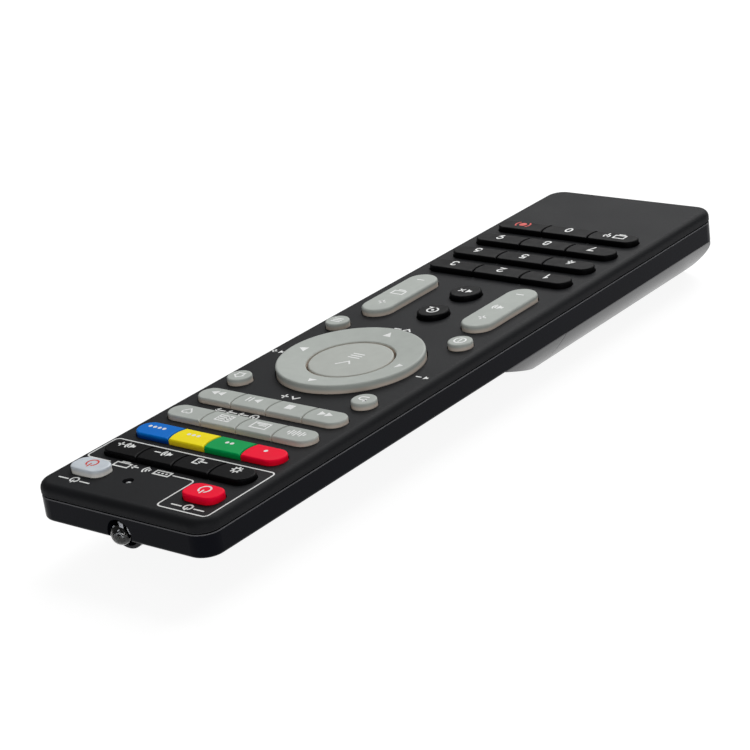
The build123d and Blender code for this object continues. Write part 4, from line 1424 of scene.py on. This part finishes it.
@dataclass
class InfraredLamp:
    """The clear lamp at the front: its resin, and the metal that it is cast round.

    Attributes:
        radius: Radius of the lens.
        length: Length of the resin, flange to tip.
        flange_radius: Radius of its flange.
        flange_length: Length of its flange.
        lead: Width of a lead.
        pitch: Distance between the two leads.
        frame_depth: Distance of the leads' inner ends from the tip.
        cup_radius: Radius of the cup that holds the die.
    """

    radius: float = 2.5
    length: float = 8.6
    flange_radius: float = 2.9
    flange_length: float = 1.0
    lead: float = 0.5
    pitch: float = 2.54
    frame_depth: float = 3.6
    cup_radius: float = 0.95

    def build(self) -> list[bpy.types.Object]:
        """Cast the resin and bend the leads.

        Returns:
            The new pieces.
        """
        low, high = box_mm("infrared_lamp")
        axis = (0.0, low.z + self.flange_radius)
        lens = make_piece("infrared_lens", self.lens(axis, high.y), smooth=True)
        lens.data.set_sharp_from_angle(angle=SHARP_ANGLE)
        dress(lens, Finish.LENS)
        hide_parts("infrared_lamp")
        leads = make_piece("infrared_leads", self.leads(axis, low, high))
        dress(leads, Finish.TIN)
        for piece in (lens, leads):
            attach(piece, "case")
        return [lens, leads]

    def lens(self, axis: Place, tip: float) -> Patch:
        """The resin: a round dome on a cylinder, whose back end is a flange.

        Args:
            axis: X and Z of the lamp's middle line.
            tip: Y of its tip.

        Returns:
            The turned surface.
        """
        angle = np.radians(np.linspace(2, 90, 18))
        dome = np.stack([self.radius * np.sin(angle), self.radius * (1 - np.cos(angle))], axis=1)
        flange = self.length - self.flange_length
        rest = [(self.radius, flange), (self.flange_radius, flange + 0.05),
                (self.flange_radius, self.length - 0.05), (self.flange_radius - 0.05, self.length)]
        return lathe(dome.tolist() + rest, axis, tip, -1, 56)

    def leads(self, axis: Place, low: Vector, high: Vector) -> Patch:
        """Two leads from inside the resin to the board, and the cup on one of them.

        Args:
            axis: X and Z of the lamp's middle line.
            low: Lowest corner of the lamp.
            high: Highest corner of the lamp.

        Returns:
            The leads and the cup.
        """
        half = self.lead / 2
        patches = []
        for side in (-1, 1):
            x = side * self.pitch / 2
            patches.append(wire([(x, high.y - self.frame_depth, axis[1]), (x, low.y + half, axis[1]),
                                 (x, low.y + half, high.z)], half))
        cup = [(0.4, 1.5), (0.5, 0.6), (self.cup_radius, 0.0), (self.cup_radius - 0.12, 0.0), (0.35, 0.5),
               (0.1, 0.55)]
        centre = (-self.pitch / 2 + 0.75, axis[1])
        patches.append(lathe(cup, centre, high.y - self.frame_depth, -1, 32))
        return joined(patches)


@dataclass
class Cells:
    """The two cells, laid in opposite directions.

    Attributes:
        radius: Radius of a cell.
        length: Length of a cell without its nipple.
        nipple_radius: Radius of its nipple.
        nipple: Length of its nipple.
    """

    radius: float = 5.25
    length: float = 43.5
    nipple_radius: float = 1.9
    nipple: float = 0.9

    def build(self) -> list[bpy.types.Object]:
        """Turn both cells and give each band of their skins its finish.

        Returns:
            The new piece.
        """
        low, high = box_mm("battery_cells")
        z = low.z + self.radius
        profile, bands = self.profile()
        steps = 64
        patches = [lathe(profile, (low.x + self.radius, z), high.y, -1, steps),
                   lathe(profile, (high.x - self.radius, z), low.y, 1, steps)]
        piece = make_piece("cells", joined(patches), smooth=True)
        piece.data.set_sharp_from_angle(angle=SHARP_ANGLE)
        for finish in (Finish.NICKEL, Finish.SEAL, Finish.SLEEVE_BAND, Finish.SLEEVE):
            piece.data.materials.append(finish.material())
        one = np.concatenate([np.repeat(np.array(bands), steps), [0, 0]])
        piece.data.polygons.foreach_set("material_index", np.tile(one, 2).astype(np.int32))
        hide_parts("battery_cells")
        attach(piece, "case")
        return [piece]

    def profile(self) -> tuple[list[Place], list[int]]:
        """Radius and depth from the nipple's tip, and the finish of each step between two points.

        Returns:
            The profile, and for each step 0 for metal, 1 for the seal, 2 for the light band and 3
            for the dark sleeve.
        """
        shoulder = self.nipple
        back = self.nipple + self.length
        points = [(self.nipple_radius - 0.35, 0.0), (self.nipple_radius - 0.05, 0.12),
                  (self.nipple_radius, 0.3), (self.nipple_radius, shoulder + 0.1),
                  (self.nipple_radius + 0.3, shoulder + 0.15), (self.radius - 1.1, shoulder + 0.15),
                  (self.radius - 0.8, shoulder), (self.radius - 0.25, shoulder),
                  (self.radius, shoulder + 0.25),
                  (self.radius, shoulder + 11.0), (self.radius, back - 0.3), (self.radius - 0.3, back),
                  (self.radius - 0.9, back), (self.radius - 1.1, back - 0.2), (0.5, back - 0.2)]
        return points, [0, 0, 0, 1, 1, 1, 2, 2, 2, 3, 3, 3, 0, 0]


@dataclass(frozen=True)
class SoftLamp:
    """A square-cornered soft lamp that looks at the world's origin.

    Attributes:
        name: The lamp's name.
        place: Its middle.
        size: Its width and height.
        watts: Its power.
    """

    name: str
    place: tuple[float, float, float]
    size: Place
    watts: float

    def hang(self) -> None:
        """Make the lamp and turn it to the origin."""
        data = bpy.data.lights.new(self.name, "AREA")
        data.shape = "RECTANGLE"
        data.size, data.size_y = self.size[0] * MM, self.size[1] * MM
        data.energy = self.watts
        lamp = bpy.data.objects.new(self.name, data)
        bpy.context.scene.collection.objects.link(lamp)
        lamp.location = Vector(self.place) * MM
        lamp.rotation_mode = "QUATERNION"
        lamp.rotation_quaternion = (-lamp.location).to_track_quat("-Z", "Y")


@dataclass
class Studio:
    """A pale floor, soft lamps and the camera.

    Attributes:
        camera_place: Where the camera stands.
        aim: The point on the top face that it looks at.
        roll: Its turn about its own view, in degrees.
        focal_pixels: Its focal length, in pixels of the photograph.
        floor_size: Half the floor's side.
        floor_z: Height of the floor, a little under the remote.
        floor_grey: How much light the floor's paper gives back.
        glow: Strength of the floor's glow.
        glow_share: Share of the glow in what the camera, a gloss or a clear piece sees.
        room: Strength of the light from all round.
        lamps: The soft lamps: one above and behind the remote, and a weaker one behind the camera.
    """

    camera_place: tuple[float, float, float] = (-329.1, 388.1, 215.07)
    aim: tuple[float, float, float] = (-9.74, 23.62, 19.05)
    roll: float = -7.789
    focal_pixels: float = 2318.08
    floor_size: float = 6000.0
    floor_z: float = -0.05
    floor_grey: float = 0.8
    glow: float = 1.2
    glow_share: float = 0.75
    room: float = 0.2
    lamps: tuple[SoftLamp, ...] = (
        SoftLamp("top_lamp", (110, -520, 580), (800, 800), 7.2),
        SoftLamp("side_lamp", (-760, 760, 260), (600, 400), 3.4),
    )

    def build(self) -> None:
        """Set up the floor, the lamps, the world and the camera."""
        self.lay_floor()
        self.light_world()
        for lamp in self.lamps:
            lamp.hang()
        self.place_camera()
        bpy.context.scene.view_settings.view_transform = "Standard"

    def lay_floor(self) -> None:
        """A wide pale floor under the remote.

        What the camera, a gloss or a clear piece sees of it is mostly an even glow. All other light
        meets plain paper, so the remote's shadow stays, though fainter.
        """
        half = self.floor_size
        x, y = np.meshgrid(np.linspace(-half, half, 9), np.linspace(-half, half, 9), indexing="ij")
        floor = make_piece("floor", grid(x, y, np.full(x.shape, self.floor_z)))
        nodes = Nodes("pale_floor")
        path = nodes.add("ShaderNodeLightPath")
        seen = nodes.maths("MAXIMUM", path.outputs["Is Camera Ray"], path.outputs["Is Transmission Ray"])
        both = nodes.maths("MAXIMUM", seen, path.outputs["Is Glossy Ray"])
        paper = nodes.add("ShaderNodeBsdfDiffuse", Color=(*[self.floor_grey] * 3, 1))
        glow = nodes.add("ShaderNodeEmission", Color=(1, 1, 1, 1), Strength=self.glow)
        mix = nodes.add("ShaderNodeMixShader", Fac=nodes.maths("MULTIPLY", both, self.glow_share))
        for socket, shader in zip(mix.inputs[1:], (paper, glow)):
            nodes.tree.links.new(shader.outputs[0], socket)
        nodes.tree.links.new(mix.outputs[0], nodes.output.inputs["Surface"])
        floor.data.materials.append(nodes.material)

    def light_world(self) -> None:
        """A weak white light from all round."""
        world = bpy.data.worlds.new("room")
        bpy.context.scene.world = world
        world.use_nodes = True
        world.node_tree.nodes["Background"].inputs["Color"].default_value = (1, 1, 1, 1)
        world.node_tree.nodes["Background"].inputs["Strength"].default_value = self.room

    def place_camera(self) -> None:
        """The camera at the photograph's place, with its focal length and roll."""
        data = bpy.data.cameras.new("camera")
        data.sensor_width = 36.0
        data.lens = self.focal_pixels / PHOTO_PIXELS * data.sensor_width
        data.clip_start, data.clip_end = 0.01, 50.0
        camera = bpy.data.objects.new("camera", data)
        bpy.context.scene.collection.objects.link(camera)
        place = Vector(self.camera_place) * MM
        level = (Vector(self.aim) * MM - place).to_track_quat("-Z", "Y")
        camera.rotation_mode = "QUATERNION"
        camera.rotation_quaternion = level @ Quaternion((0, 0, 1), math.radians(self.roll))
        camera.location = place
        bpy.context.scene.camera = camera


def main() -> None:
    """Build every sub-assembly, report its pieces and set up the studio."""
    logging.basicConfig(level=logging.INFO, format="%(name)s: %(message)s")
    for part in (Case(), Keypad(), DirectionPad(), InfraredLamp(), Electronics(), Cells()):
        for piece in part.build():
            LOG.info("%s: %s, %d faces", type(part).__name__, piece.name, len(piece.data.polygons))
    Studio().build()


if __name__ == "__main__":
    main()
